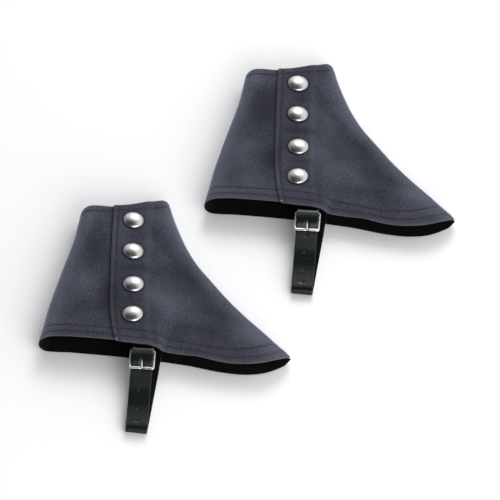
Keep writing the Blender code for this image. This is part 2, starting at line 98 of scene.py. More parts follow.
HEM = table(
    "u y",
    (0.00, -3.5), (0.09, -2.8), (0.21, -6.0), (0.36, -11.3), (0.49, -17.5), (0.60, -23.6),
    (0.72, -32.5), (0.83, -36.3), (0.90, -33.6), (0.95, -27.5), (1.00, -18.6),
)
TOP = table(
    "u y",
    (0.00, 187.0), (0.16, 188.3), (0.37, 190.0), (0.54, 193.2), (0.71, 198.2), (0.90, 203.9),
    (1.00, 205.5),
)
HEEL = table(
    "v x",
    (0.00, 0.0), (0.10, 4.5), (0.25, 10.3), (0.40, 17.8), (0.55, 25.9), (0.70, 34.5),
    (0.80, 39.9), (0.90, 43.6), (1.00, 47.3),
)
INSTEP = table(
    "v x",
    (0.00, 286.8), (0.04, 280.2), (0.08, 271.7), (0.15, 258.2), (0.25, 238.2), (0.35, 219.8),
    (0.50, 196.0), (0.60, 180.9), (0.70, 169.5), (0.80, 160.9), (0.90, 153.8), (1.00, 148.0),
)
FLAP_EDGE = table(
    "v x",
    (0.00, 87.0), (0.08, 83.6), (0.18, 81.7), (0.55, 81.5), (0.80, 83.0), (1.00, 84.8),
)
THICKNESS_LEVELS = ("hem", "low", "mid", "high", "top")
THICKNESS_V = np.array([0.0, 0.12, 0.4, 0.7, 1.0])
THICKNESS = table(
    "u hem low mid high top",
    (0.00, 22.5, 23.2, 28.2, 29.5, 31.0),
    (0.10, 23.2, 23.7, 28.2, 29.5, 31.4),
    (0.22, 23.8, 24.0, 27.2, 28.0, 30.4),
    (0.30, 23.8, 24.0, 26.7, 27.5, 28.6),
    (0.37, 22.8, 23.7, 27.6, 27.6, 27.2),
    (0.44, 22.6, 23.6, 27.9, 27.2, 26.2),
    (0.51, 21.9, 23.2, 27.4, 26.5, 25.0),
    (0.56, 20.8, 22.8, 26.2, 25.6, 24.4),
    (0.64, 22.6, 22.9, 24.0, 24.6, 23.6),
    (0.74, 20.8, 22.4, 22.6, 23.5, 22.6),
    (0.85, 22.6, 22.4, 21.0, 22.0, 21.6),
    (0.93, 21.6, 20.4, 19.0, 20.0, 20.4),
    (1.00, 14.0, 15.0, 15.0, 16.0, 17.0),
)
print("pattern: heel to toe", INSTEP["x"][0], "mm, toe to top", INSTEP_TOP_Y - TOE_Y, "mm up the table")

# %% [markdown]
# ## Smooth curves through the tables
# A cubic through each table's points gives a flowing edge without a kink. The functions take
# whole arrays, so that a panel of many thousand points is worked out at once.

# %% Curves and soft steps


def cubic(t, width, values, slopes, i):
    """The curve between points i and i + 1 of a table, at a share t of the way."""
    left = values[i] * (1 + 2 * t) * (1 - t) ** 2 + slopes[i] * width * t * (1 - t) ** 2
    right = values[i + 1] * t * t * (3 - 2 * t) + slopes[i + 1] * width * t * t * (t - 1)
    return left + right


def smooth(at, places, values):
    """A smooth curve through a table's points."""
    slopes = np.gradient(values, places)
    i = np.clip(np.searchsorted(places, at) - 1, 0, len(places) - 2)
    width = places[i + 1] - places[i]
    return cubic((at - places[i]) / width, width, values, slopes, i)


def ease(value):
    """A soft step from 0 to 1."""
    value = np.clip(value, 0.0, 1.0)
    return value * value * (3 - 2 * value)


def bell(distance, width):
    """A soft bump: 1 in the middle, and almost nothing at twice the width."""
    return np.exp(-((distance / width) ** 2))


def heel_x(v):
    return smooth(v, HEEL["v"], HEEL["x"])


def instep_x(v):
    return smooth(v, INSTEP["v"], INSTEP["x"])


def flap_x(v):
    return smooth(v, FLAP_EDGE["v"], FLAP_EDGE["x"])


# %% [markdown]
# ## The tube
# The hollow cover is a flattened tube: two nearly level sides joined by a round heel edge and a
# round instep edge. The heel half of its hem is propped up on the buckle. A point of the tube is
# asked for by its zone, its place there, its height v, its side, and how deep it lies under the
# face, so the panels and the lining come from the same rule and nest without touching.

# %% The skin of the tube
PROP_LIFT, PROP_X, PROP_FALL, PROP_SPREAD, PROP_V = 8.0, 132.5, 12.0, 60.0, 0.5
HEEL_ROUND, INSTEP_ROUND = 14.0, 7.0
LOW_CORNER = 0.7
SLANT_STEP = 0.01


def plan_y(u, v):
    """How far up the table a point lies: a patch between the hem, the top and the two edges."""
    hem = smooth(u, HEM["u"], HEM["y"])
    top = smooth(u, TOP["u"], TOP["y"])
    heel = HEEL_HEM_Y + (HEEL_TOP_Y - HEEL_HEM_Y) * v
    instep = TOE_Y + (INSTEP_TOP_Y - TOE_Y) * v
    corners = (1 - v) * ((1 - u) * HEEL_HEM_Y + u * TOE_Y)
    corners += v * ((1 - u) * HEEL_TOP_Y + u * INSTEP_TOP_Y)
    return (1 - v) * hem + v * top + (1 - u) * heel + u * instep - corners


def thickness(u, v):
    """How far the puffed cover stands up from the table."""
    levels = [smooth(u, THICKNESS["u"], THICKNESS[name]) for name in THICKNESS_LEVELS]
    slopes = np.gradient(np.array(levels), THICKNESS_V, axis=0)
    total = np.zeros_like(u + v)
    for i in range(len(THICKNESS_V) - 1):
        width = THICKNESS_V[i + 1] - THICKNESS_V[i]
        t = (v - THICKNESS_V[i]) / width
        inside = (t > 0) & (t <= 1) if i else (t <= 1)
        total = np.where(inside, cubic(t, width, levels, slopes, i), total)
    x = heel_x(v) + u * (instep_x(v) - heel_x(v))
    fall = ease((x - PROP_X) / (PROP_FALL + PROP_SPREAD * v))
    return total + PROP_LIFT * (1 - fall) * (1 - ease(v / PROP_V))


def instep_slant(v):
    """How much longer a level run is than the true distance in from the slanting instep edge."""
    low, high = np.maximum(v - SLANT_STEP, 0.0), np.minimum(v + SLANT_STEP, 1.0)
    rise = (INSTEP_TOP_Y - TOE_Y) * (high - low)
    return np.hypot(instep_x(high) - instep_x(low), rise) / rise


def skin(zone, value, v, side, inset):
    """Points of the tube, `inset` millimetres in from the felt's outer face.

    zone is "heel" or "instep", with an angle from 0 on the edge to a quarter turn on the flat,
    or "flat", with x. side is 1 on the upper side and -1 on the under side, where the tube's
    own weight presses the heel's round into a fuller corner.
    """
    value, v = np.broadcast_arrays(value, v)
    x, edge, rise = value, np.zeros_like(v), np.ones_like(v)
    if zone == "heel":
        fullness = 1.0 if side > 0 else LOW_CORNER
        x = heel_x(v) + inset + (HEEL_ROUND - inset) * (1 - np.maximum(np.cos(value), 0.0) ** fullness)
        edge, rise = thickness(np.zeros_like(v), v) / 2, np.sin(value) ** fullness
    if zone == "instep":
        inward = inset + (INSTEP_ROUND - inset) * (1 - np.cos(value))
        x = instep_x(v) - inward * instep_slant(v)
        edge, rise = thickness(np.ones_like(v), v) / 2, np.sin(value)
    u = (x - heel_x(v)) / (instep_x(v) - heel_x(v))
    flat = thickness(u, v) - inset if side > 0 else inset
    return np.stack([x, plan_y(u, v), edge + (flat - edge) * rise], axis=-1), rise


def heel_flat(v):
    return heel_x(v) + HEEL_ROUND


def instep_flat(v):
    return instep_x(v) - INSTEP_ROUND * instep_slant(v)


middle, _ = skin("flat", np.array(150.0), np.array(0.5), 1, 0.0)
print("the middle of the upper side stands", round(float(middle[2]), 1), "mm above the table")

# %% [markdown]
# ## Creases
# Felt this thick doesn't wrinkle finely. It dents in long soft troughs, where the empty tube has
# sagged, and swells between them. Each is listed, with its own length, width and depth, as
# a smooth bump along a short line. All the layers of a side share them, so nothing is pierced.

# %% The creases of both sides
UPPER_CREASES = table(
    "x y turn length width depth",
    (64, 128, 76, 62, 17, -2.6),
    (75, 56, 84, 42, 9, -1.9),
    (48, 72, 66, 50, 13, 1.2),
    (58, 172, 96, 26, 12, 1.1),
    (36, 30, 40, 34, 10, -0.9),
    (111, 97, 3, 32, 8, -2.3),
    (110, 145, -5, 22, 7, -1.3),
    (108, 49, 6, 24, 7, -1.1),
    (172, 84, -49, 88, 13, -2.0),
    (148, 46, -32, 70, 17, 1.5),
    (131, 152, -70, 56, 9, -1.2),
    (205, 30, -28, 60, 10, -1.1),
    (234, 8, -24, 52, 11, 1.2),
    (178, 12, -8, 46, 8, -1.0),
    (140, 116, -58, 36, 8, 1.1),
    (136, 188, 84, 20, 8, -0.8),
)
UNDER_CREASES = table(
    "x y turn length width depth",
    (70, 110, 80, 62, 15, 1.3),
    (128, 70, -38, 70, 12, 1.0),
    (182, 60, -46, 60, 11, 0.8),
    (104, 158, 12, 34, 9, 0.9),
    (215, 14, -30, 46, 9, 0.6),
    (52, 36, 55, 36, 9, 0.7),
    (150, 20, -10, 40, 8, 0.5),
)


def dents(x, y, creases):
    """How far the cloth rises or sinks at each point, from all the creases together."""
    total = np.zeros_like(x)
    for cx, cy, turn, length, width, depth in zip(*creases.values()):
        angle = math.radians(turn)
        along = (x - cx) * math.cos(angle) + (y - cy) * math.sin(angle)
        across = (y - cy) * math.cos(angle) - (x - cx) * math.sin(angle)
        total += depth * bell(along, length / 2) * bell(across, width)
    return total


print(len(UPPER_CREASES["x"]), "creases above and", len(UNDER_CREASES["x"]), "on the under side")

# %% [markdown]
# ## Rows of stitches sink into the felt
# Two rows hold the facing at the hem, one row runs under the top edge, one beside the flap's
# folded edge and one inside the instep seam. The thread pulls the felt down into a narrow
# groove. The same rule gives the groove in the mesh and a mask along which the felt's finish
# paints shade into the groove.

# %% Stitch rows as grooves
HEM_ROWS_V = (0.083, 0.034)
TOP_ROW_V = 0.958
FLAP_ROW = 5.6
INSTEP_ROW_ANGLE = 1.12
ROW_RISE = 205.0
GROOVE = 1.1
GROOVE_DEPTH = 0.38
INSTEP_ROW_SHARE = 0.6
EDGE_PRESS, EDGE_PRESS_REACH = 0.25, 1.6
# The reaches of the pale band on the cut edges, which is partly fibres and partly painted sheen.
HEM_FRAY_AND_SHEEN, TOP_FRAY_AND_SHEEN = 2.2, 2.0
BUTTONS = table("x y", (107.2, 168.7), (107.0, 121.9), (107.5, 71.9), (106.8, 26.8))
BUTTON_RADIUS = 11.5


def level_rows(v):
    """The mask of the rows that follow the hem and the top edge."""
    mask = np.zeros_like(v)
    for row in (*HEM_ROWS_V, TOP_ROW_V):
        mask = np.maximum(mask, bell((v - row) * ROW_RISE, GROOVE))
    return mask


def instep_row(zone, value):
    """The mask of the row that runs inside the instep seam."""
    if zone != "instep":
        return np.zeros_like(value)
    return INSTEP_ROW_SHARE * bell((value - INSTEP_ROW_ANGLE) * INSTEP_ROUND, GROOVE)


def hem_roll(v):
    """Both cut edges are pressed a little thinner than the cloth beside them."""
    at_hem, at_top = (bell(share * ROW_RISE, EDGE_PRESS_REACH) for share in (v, 1 - v))
    return -EDGE_PRESS * at_hem - EDGE_PRESS * at_top


def cut_edges(v):
    """The mask of the hem and the top edge, paler partly from loose fibres and partly from painted
    sheen.
    """
    return np.maximum(bell(v * ROW_RISE, HEM_FRAY_AND_SHEEN), bell((1 - v) * ROW_RISE, TOP_FRAY_AND_SHEEN))


# %% [markdown]
# ## The faces of the three felt panels
# The front panel laps over the back panel, so it rides up by one thickness of felt and a hair,
# then comes down onto the lining. Its hem hangs a little lower. Where the hem turns round the
# heel and the toe it is drawn up, and bares the lining. Each function gives points and masks:
# the sewn grooves, which also carry painted shade there, beside the flap's edge and round the
# snaps; the cut edges, pale partly from their fibres and partly from painted sheen, with a
# painted highlight on the flap's fold; and a tone of painted light, high where painted sheen
# lies along the tube's edges and low where painted shade lies in the hollows.

# %% Panel faces
UNDERLAP, LAP_EASE, LAP_LIFT = 37.0, 10.0, FELT + GAP
HEM_DROP, HEM_DROP_END_X, HEM_DROP_V = 3.0, 190.0, 0.12
# The snaps' seats dip a little, and round each one a ring of painted shade darkens the felt.
SEAT_RING, SEAT_SPREAD, SEAT_DEPTH, SEAT_SHADE = 12.4, 1.5, 0.4, 0.8
FLAP_SWELL, FLAP_SWELL_REACH = 0.35, 2.0
FLAP_PRESS, FLAP_PRESS_REACH = 0.3, 1.0
# The pale band just past the flap's folded edge is a painted highlight, and the dark band before it a
# painted shadow.
FLAP_PAINTED_HIGHLIGHT, FLAP_HIGHLIGHT_X, FLAP_SHADE, FLAP_REACH = 0.7, 1.2, 0.6, 2.2
HEEL_BARED, TOE_BARED, BARED_V = 0.020, 0.011, 0.06
HEEL_TUCK, HEEL_TUCK_X = 2.5, 25.0
ROW_FADE_X, ROW_FADE, ROW_FADE_SHARE = 232.0, 40.0, 0.6
# The tone mask is painted light: painted shade in the dents, painted light on the swells, and painted
# sheen near the heel and instep edges and over the back.
NAP_TONE, RELIEF_PAINTED_SHADE = 0.31, 0.12
HEEL_PAINTED_SHEEN, BACK_PAINTED_SHEEN, INSTEP_PAINTED_SHEEN = (10.0, 0.84), (42.0, 0.15), (15.0, 0.34)    # reach, share


def lap_lift(x, v):
    return LAP_LIFT * (1 - ease((x - flap_x(v) - UNDERLAP) / LAP_EASE))


def hem_drop(x, v):
    start = flap_x(np.zeros_like(v))
    along = (x - start) / (HEM_DROP_END_X - start)
    return HEM_DROP * (1 - ease(along)) * (1 - ease(v / HEM_DROP_V))


BARED = {"heel": HEEL_BARED, "instep": TOE_BARED}


def drawn_up(zone, value, v):
    """The heights of the felt's rows, once its hem is drawn up at the heel and the toe."""
    if zone not in BARED:
        return v
    return v + BARED[zone] * (1 - np.sin(value)) * (1 - ease(v / BARED_V))


def heel_tuck(x, v):
    """How far the under side's hem is tucked up beside the heel."""
    return HEEL_TUCK * (1 - ease(x / HEEL_TUCK_X)) * (1 - ease(v / BARED_V))


def painted_sheen_from(distance, brushed):
    """How much painted sheen lightens the nap at a distance in from an edge, for a reach and a share.
    """
    reach, share = brushed
    return share * bell(distance, reach)


def painted_light_at(x, v, height):
    """Painted light on the nap: from 0, painted shade in a deep hollow, to 1, painted sheen on the
    tube's edge.
    """
    from_heel, from_instep = x - heel_x(v), (instep_x(v) - x) / instep_slant(v)
    tone = NAP_TONE + RELIEF_PAINTED_SHADE * height + painted_sheen_from(from_instep, INSTEP_PAINTED_SHEEN)
    tone = tone + painted_sheen_from(from_heel, HEEL_PAINTED_SHEEN) + painted_sheen_from(from_heel, BACK_PAINTED_SHEEN)
    return np.clip(tone, 0.0, 1.0)


def front_face(zone, value, v):
    value, v = np.broadcast_arrays(value, v)
    v = drawn_up(zone, value, v)
    at, rise = skin(zone, value, v, 1, 0.0)
    x = at[..., 0]
    points, _ = skin(zone, value, v, 1, -lap_lift(x, v))
    points[..., 1] -= hem_drop(x, v)
    from_flap = x - flap_x(v)
    seam = level_rows(v) * (1 - ROW_FADE_SHARE * ease((x - ROW_FADE_X) / ROW_FADE))
    seam = np.maximum(seam, instep_row(zone, value))
    seam = np.maximum(seam, bell(from_flap - FLAP_ROW, GROOVE))
    seat = np.zeros_like(x)
    for bx, by in zip(*BUTTONS.values()):
        distance = np.hypot(x - bx, points[..., 1] - by)
        seat = np.maximum(seat, bell(distance - SEAT_RING, SEAT_SPREAD))
    dent = dents(x, points[..., 1], UPPER_CREASES)
    height = dent - GROOVE_DEPTH * seam - SEAT_DEPTH * seat + hem_roll(v)
    swell = FLAP_SWELL * bell(from_flap - FLAP_ROW / 2, FLAP_SWELL_REACH)
    height += swell - FLAP_PRESS * bell(from_flap, FLAP_PRESS_REACH)
    points[..., 2] += height * rise
    # Pale edges: the cut edges' fibres with painted sheen, and a painted highlight on the flap's fold.
    edge = np.maximum(cut_edges(v), FLAP_PAINTED_HIGHLIGHT * bell(from_flap - FLAP_HIGHLIGHT_X, FLAP_REACH))
    # tone: painted sheen near the tube's edges and painted shade in the dents
    tone = painted_light_at(x, v, dent)
    # The stitched grooves and a ring round each snap get painted shade in the felt's colour.
    return points, {"seam": np.maximum(seam, SEAT_SHADE * seat), "edge": edge, "tone": tone}


def back_face(zone, value, v):
    value, v = np.broadcast_arrays(value, v)
    v = drawn_up(zone, value, v)
    points, rise = skin(zone, value, v, 1, 0.0)
    x, y = points[..., 0], points[..., 1]
    seam = level_rows(v)
    dent = dents(x, y, UPPER_CREASES)
    points[..., 2] += (dent - GROOVE_DEPTH * seam + hem_roll(v)) * rise
    # Painted shadow of the flap's folded edge on the back panel beside it.
    beside_flap = FLAP_SHADE * bell(flap_x(v) - x, FLAP_REACH)
    # tone: painted sheen and painted shade, as on the front panel
    tone = painted_light_at(x, v, dent)
    return points, {"seam": np.maximum(seam, beside_flap), "edge": cut_edges(v), "tone": tone}


def under_face(zone, value, v):
    value, v = np.broadcast_arrays(value, v)
    v = drawn_up(zone, value, v)
    points, rise = skin(zone, value, v, -1, 0.0)
    x, y = points[..., 0], points[..., 1]
    seam = np.maximum(level_rows(v), instep_row(zone, value))
    dent = dents(x, y, UNDER_CREASES)
    points[..., 1] += heel_tuck(x, v) * rise
    points[..., 2] += (dent + GROOVE_DEPTH * seam) * rise
    # tone: painted sheen and painted shade, with the under side's dents taken the other way
    return points, {"seam": seam, "edge": cut_edges(v), "tone": painted_light_at(x, v, -dent)}


# %% [markdown]
# ## From a grid of points to a cloth mesh
# A panel is a grid of points, so it could be a subdivided plane moved about by modifiers. Here
# the rule already gives every point, and a mesh made straight from the grid keeps exact edges.
# The grid also gets a UV map in metres along the cloth, which weaves follow.

# %% Grid meshes


def grid_mesh(name, points, masks=None, ring=False, flip=False):
    """A sheet of quads from rows of points in millimetres, with masks kept as attributes."""
    rows, columns = points.shape[:2]
    number = np.arange(rows * columns).reshape(rows, columns)
    spread = points
    if ring:
        number = np.concatenate([number, number[:, :1]], axis=1)
        spread = np.concatenate([points, points[:, :1]], axis=1)
    corners = [number[:-1, :-1], number[:-1, 1:], number[1:, 1:], number[1:, :-1]]
    across = np.linalg.norm(np.diff(spread, axis=1), axis=-1).mean(axis=0)
    up = np.linalg.norm(np.diff(spread, axis=0), axis=-1).mean(axis=1)
    s = np.broadcast_to(np.concatenate([[0], np.cumsum(across)]), number.shape) * MM
    t = np.broadcast_to(np.concatenate([[0], np.cumsum(up)])[:, None], number.shape) * MM
    uv = np.stack([s, t], axis=-1)
    uv_corners = [uv[:-1, :-1], uv[:-1, 1:], uv[1:, 1:], uv[1:, :-1]]
    if flip:
        corners, uv_corners = corners[::-1], uv_corners[::-1]
    mesh = bpy.data.meshes.new(name)
    quads = np.stack(corners, axis=-1).reshape(-1, 4)
    mesh.from_pydata((points.reshape(-1, 3) * MM).tolist(), [], quads.tolist())
    mesh.uv_layers.new(name="UVMap").data.foreach_set("uv", np.stack(uv_corners, axis=2).ravel())
    for label, values in (masks or {}).items():
        mesh.attributes.new(label, "FLOAT", "POINT").data.foreach_set("value", values.ravel())
    mesh.shade_smooth()
    return mesh


def settled(piece):
    """The piece's mesh as its modifiers leave it, with the piece itself taken away."""
    view = bpy.context.evaluated_depsgraph_get()
    finished = piece.evaluated_get(view)
    mesh = bpy.data.meshes.new_from_object(finished, preserve_all_data_layers=True, depsgraph=view)
    bpy.data.objects.remove(piece, do_unlink=True)
    return mesh


def scratch_piece(name, mesh):
    piece = bpy.data.objects.new(name, mesh)
    bpy.context.scene.collection.objects.link(piece)
    return piece


INWARDS, BOTH_WAYS = -1, 0
CUT_EDGE_ANGLE = math.radians(55)


def area_of(mesh):
    return sum(face.area for face in mesh.polygons)


def thicken(mesh, thick, offset, rim, materials=()):
    """Gives a sheet its thickness in millimetres and rounds its cut edges.

    materials, where given, are those of the face, the back and the cut edges.
    """
    piece = scratch_piece(mesh.name, mesh)
    for material in materials:
        mesh.materials.append(material)
    wall = piece.modifiers.new("wall", "SOLIDIFY")
    wall.thickness = thick * MM
    wall.offset = offset
    if materials:
        wall.material_offset = 1
        wall.material_offset_rim = 2
    edges = piece.modifiers.new("rim", "BEVEL")
    edges.width = rim * MM
    edges.segments = 2
    edges.limit_method = "ANGLE"
    edges.angle_limit = CUT_EDGE_ANGLE
    return settled(piece)


# %% [markdown]
# ## The nap group
# Felt is matted wool. Seen close it is a mat of fibres, and from a step away it is mottled,
# because brushing lays its nap this way and that. A shader group holds that effect once: its
# sizes are inputs, and it gives out a shade and a height. Felt, lining and thread all use it.

# %% Shader group for the nap


def new_group(name, inputs, outputs):
    """An empty shader group with float and vector inputs, and its input and output nodes."""
    tree = bpy.data.node_groups.new(name, "ShaderNodeTree")
    for label, value in inputs.items():
        kind = "NodeSocketVector" if value is None else "NodeSocketFloat"
        socket = tree.interface.new_socket(label, in_out="INPUT", socket_type=kind)
        if value is not None:
            socket.default_value = value
    for label in outputs:
        tree.interface.new_socket(label, in_out="OUTPUT", socket_type="NodeSocketFloat")
    return tree, tree.nodes.new("NodeGroupInput"), tree.nodes.new("NodeGroupOutput")


def noise(tree, vector, scale, detail=3.0, roughness=0.55, distortion=0.0):
    """A noise texture, read from a vector socket. scale is a number or a socket."""
    node = tree.nodes.new("ShaderNodeTexNoise")
    tree.links.new(vector, node.inputs["Vector"])
    node.inputs["Detail"].default_value = detail
    node.inputs["Roughness"].default_value = roughness
    node.inputs["Distortion"].default_value = distortion
    if isinstance(scale, (int, float)):
        node.inputs["Scale"].default_value = scale
    else:
        tree.links.new(scale, node.inputs["Scale"])
    return node.outputs["Fac"]


def reckon(tree, operation, *values):
    """A math node on sockets and numbers."""
    node = tree.nodes.new("ShaderNodeMath")
    node.operation = operation
    for slot, value in zip(node.inputs, values):
        if isinstance(value, (int, float)):
            slot.default_value = value
        else:
            tree.links.new(value, slot)
    return node.outputs[0]


def nap_group():
    tree, start, end = new_group(
        "nap",
        {"Vector": None, "Patch scale": 18.0, "Fleck scale": 430.0, "Fibre scale": 2600.0},
        ("Shade", "Height"),
    )
    vector = start.outputs["Vector"]
    patches = noise(tree, vector, start.outputs["Patch scale"], 2.0, 0.5, 0.4)
    flecks = noise(tree, vector, start.outputs["Fleck scale"], 2.0, 0.6)
    fibres = noise(tree, vector, start.outputs["Fibre scale"], 2.0, 0.7, 1.5)
    shade = reckon(tree, "MULTIPLY_ADD", flecks, 0.55, reckon(tree, "MULTIPLY", patches, 0.45))
    height = reckon(tree, "MULTIPLY_ADD", fibres, 0.5, reckon(tree, "MULTIPLY", flecks, 0.5))
    tree.links.new(shade, end.inputs["Shade"])
    tree.links.new(height, end.inputs["Height"])
    return tree


nap = nap_group()
print("the nap group takes", [item.name for item in nap.interface.items_tree if item.in_out == "INPUT"])

# %% [markdown]
# ## Felt, lining and thread
# The felt is a dark slate blue. Its colour runs between a dark and a pale tone with the random nap
# and with a painted light mask: painted sheen along the tube's edges, painted shade in its hollows.
# It has painted shade in the stitched grooves, beside the flap's edge and round the snaps, and goes
# paler on the cut edges, partly from standing fibres and partly from painted sheen, and on the
# flap's fold, where the pale band is a painted highlight. Sheen on the Principled shader lights it
# where it turns away, as fine wool does.

# %% Cloth finishes


def new_finish(name, colour, roughness, metallic=0.0):
    """A material with its Principled shader, and the tree that its pattern is built in."""
    material = bpy.data.materials.new(name)
    material.use_nodes = True
    shader = material.node_tree.nodes["Principled BSDF"]
    shader.inputs["Base Color"].default_value = (*colour, 1.0)
    shader.inputs["Roughness"].default_value = roughness
    shader.inputs["Metallic"].default_value = metallic
    material.diffuse_color = (*colour, 1.0)
    return material, shader, material.node_tree


def object_place(tree):
    return tree.nodes.new("ShaderNodeTexCoord").outputs["Object"]


def use_group(tree, group, vector, **sizes):
    """A copy of a shader group in a material, fed with a vector and its own sizes."""
    node = tree.nodes.new("ShaderNodeGroup")
    node.node_tree = group
    tree.links.new(vector, node.inputs["Vector"])
    for label, value in sizes.items():
        node.inputs[label.replace("_", " ")].default_value = value
    return node


def between(tree, share, low, high):
    """A colour between two, by a share that runs from 0 to 1."""
    node = tree.nodes.new("ShaderNodeMix")
    node.data_type = "RGBA"
    tree.links.new(share, node.inputs["Factor"])
    for label, colour in (("A", low), ("B", high)):
        slot = next(s for s in node.inputs if s.name == label and s.type == "RGBA")
        if isinstance(colour, tuple):
            slot.default_value = (*colour, 1.0)
        else:
            tree.links.new(colour, slot)
    return next(s for s in node.outputs if s.type == "RGBA")


def stretch(tree, value, low, high, out_low=0.0, out_high=1.0):
    """Maps a value's range onto another, and holds it there."""
    node = tree.nodes.new("ShaderNodeMapRange")
    node.interpolation_type = "SMOOTHSTEP"
    tree.links.new(value, node.inputs["Value"])
    numbers = (("From Min", low), ("From Max", high), ("To Min", out_low), ("To Max", out_high))
    for label, number in numbers:
        node.inputs[label].default_value = number
    return node.outputs["Result"]


def bumped(tree, shader, height, distance, strength=1.0):
    node = tree.nodes.new("ShaderNodeBump")
    node.inputs["Distance"].default_value = distance
    node.inputs["Strength"].default_value = strength
    tree.links.new(height, node.inputs["Height"])
    tree.links.new(node.outputs["Normal"], shader.inputs["Normal"])


def mask(tree, name):
    node = tree.nodes.new("ShaderNodeAttribute")
    node.attribute_name = name
    return node.outputs["Fac"]


# The dark colour is the nap's dark flecks and painted shade; the pale one is the nap's pale flecks and
# painted sheen.
FELT_SHADOW = (0.020, 0.021, 0.029)
FELT_PALE_AND_LIT = (0.098, 0.101, 0.136)
# The groove colour is painted shade for the stitched grooves, the flap's edge and the snaps' rings.
FELT_GROOVE_SHADE = (0.012, 0.012, 0.018)
# The edge colour is the cut edges' own paler fibres plus painted sheen.
FELT_EDGE_FIBRE_AND_SHEEN = (0.095, 0.094, 0.100)
NAP_SHARE, EDGE_FIBRE_AND_SHEEN_SHARE, SEAM_SHADE_SHARE = 1.3, 0.45, 0.75


def felt_finish():
    material, shader, tree = new_finish("slate felt", (0.064, 0.067, 0.088), 0.92)
    shader.inputs["Sheen Weight"].default_value = 0.62
    shader.inputs["Sheen Roughness"].default_value = 0.34
    shader.inputs["Sheen Tint"].default_value = (0.62, 0.66, 0.92, 1.0)
    shader.inputs["Specular IOR Level"].default_value = 0.15
    pattern = use_group(tree, nap, object_place(tree))
    ruffled = reckon(tree, "MULTIPLY_ADD", pattern.outputs["Shade"], NAP_SHARE, -NAP_SHARE / 2)
    # The tone mask is painted light, sheen on the edges and shade in the hollows, and the random nap is
    # added to it.
    pale = reckon(tree, "ADD", mask(tree, "tone"), ruffled)
    colour = between(tree, stretch(tree, pale, 0.0, 1.0), FELT_SHADOW, FELT_PALE_AND_LIT)
    # The loop pales the cut edges, partly their fibres and partly painted sheen, and darkens the
    # grooves, the flap's edge and the snaps' rings with painted shade.
    for label, share, tone in (("edge", EDGE_FIBRE_AND_SHEEN_SHARE, FELT_EDGE_FIBRE_AND_SHEEN), ("seam", SEAM_SHADE_SHARE, FELT_GROOVE_SHADE)):
        colour = between(tree, reckon(tree, "MULTIPLY", mask(tree, label), share), colour, tone)
    tree.links.new(colour, shader.inputs["Base Color"])
    bumped(tree, shader, pattern.outputs["Height"], 0.0005, 0.8)
    return material


def lining_finish():
    material, shader, tree = new_finish("black lining", (0.006, 0.006, 0.007), 0.9)
    shader.inputs["Specular IOR Level"].default_value = 0.12
    pattern = use_group(tree, nap, object_place(tree), Patch_scale=40.0, Fleck_scale=500.0)
    colour = between(tree, pattern.outputs["Shade"], (0.001, 0.001, 0.001), (0.007, 0.007, 0.008))
    tree.links.new(colour, shader.inputs["Base Color"])
    place = tree.nodes.new("ShaderNodeTexCoord").outputs["UV"]
    twill = tree.nodes.new("ShaderNodeTexWave")
    twill.wave_type = "BANDS"
    twill.bands_direction = "DIAGONAL"
    twill.inputs["Scale"].default_value = 350.0
    tree.links.new(place, twill.inputs["Vector"])
    bumped(tree, shader, twill.outputs["Fac"], 0.0002, 0.5)
    return material


def thread_finish(name, dark, light):
    material, shader, tree = new_finish(name, dark, 0.7)
    pattern = use_group(tree, nap, object_place(tree), Patch_scale=90.0, Fleck_scale=900.0)
    tree.links.new(between(tree, pattern.outputs["Shade"], dark, light), shader.inputs["Base Color"])
    bumped(tree, shader, pattern.outputs["Height"], 0.0001, 0.6)
    return material


felt = felt_finish()
lining_cloth = lining_finish()
thread = thread_finish("navy thread", (0.010, 0.010, 0.018), (0.030, 0.030, 0.044))
pale_thread = thread_finish("pale thread", (0.30, 0.29, 0.28), (0.55, 0.54, 0.52))
print("cloth finishes:", felt.name, "/", lining_cloth.name, "/", thread.name, "/", pale_thread.name)

# %% [markdown]
# ## Leather and nickel
# The strap is leather under a glossy coat, near black with a green cast and a fine pebble grain.
# The snaps and the buckle are polished nickel plate. Handling dulls both in smears, which is
# one more shader group. Its mask feeds the roughness, so the gloss breaks up, and shifts the
# colour a little between two near tones.

# %% Shader groups for grain and handling


def grain_group():
    tree, start, end = new_group("grain", {"Vector": None, "Pebble scale": 900.0}, ("Height",))
    vector = start.outputs["Vector"]
    cells = tree.nodes.new("ShaderNodeTexVoronoi")
    cells.feature = "SMOOTH_F1"
    tree.links.new(vector, cells.inputs["Vector"])
    tree.links.new(start.outputs["Pebble scale"], cells.inputs["Scale"])
    folds = noise(tree, vector, 260.0, 3.0, 0.6)
    pebbles = reckon(tree, "MULTIPLY", cells.outputs["Distance"], 0.7)
    tree.links.new(reckon(tree, "MULTIPLY_ADD", folds, 0.8, pebbles), end.inputs["Height"])
    return tree


def handling_group():
    inputs = {"Vector": None, "Smear scale": 70.0, "Scratch scale": 900.0}
    tree, start, end = new_group("handling", inputs, ("Mask",))
    vector = start.outputs["Vector"]
    smears = noise(tree, vector, start.outputs["Smear scale"], 4.0, 0.65, 1.2)
    scratches = noise(tree, vector, start.outputs["Scratch scale"], 2.0, 0.5, 3.0)
    both = reckon(tree, "MULTIPLY_ADD", scratches, 0.35, reckon(tree, "MULTIPLY", smears, 0.65))
    tree.links.new(both, end.inputs["Mask"])
    return tree


grain = grain_group()
handling = handling_group()


SMEARED, COAT_ROUGHNESS = (0.35, 0.65), 0.1


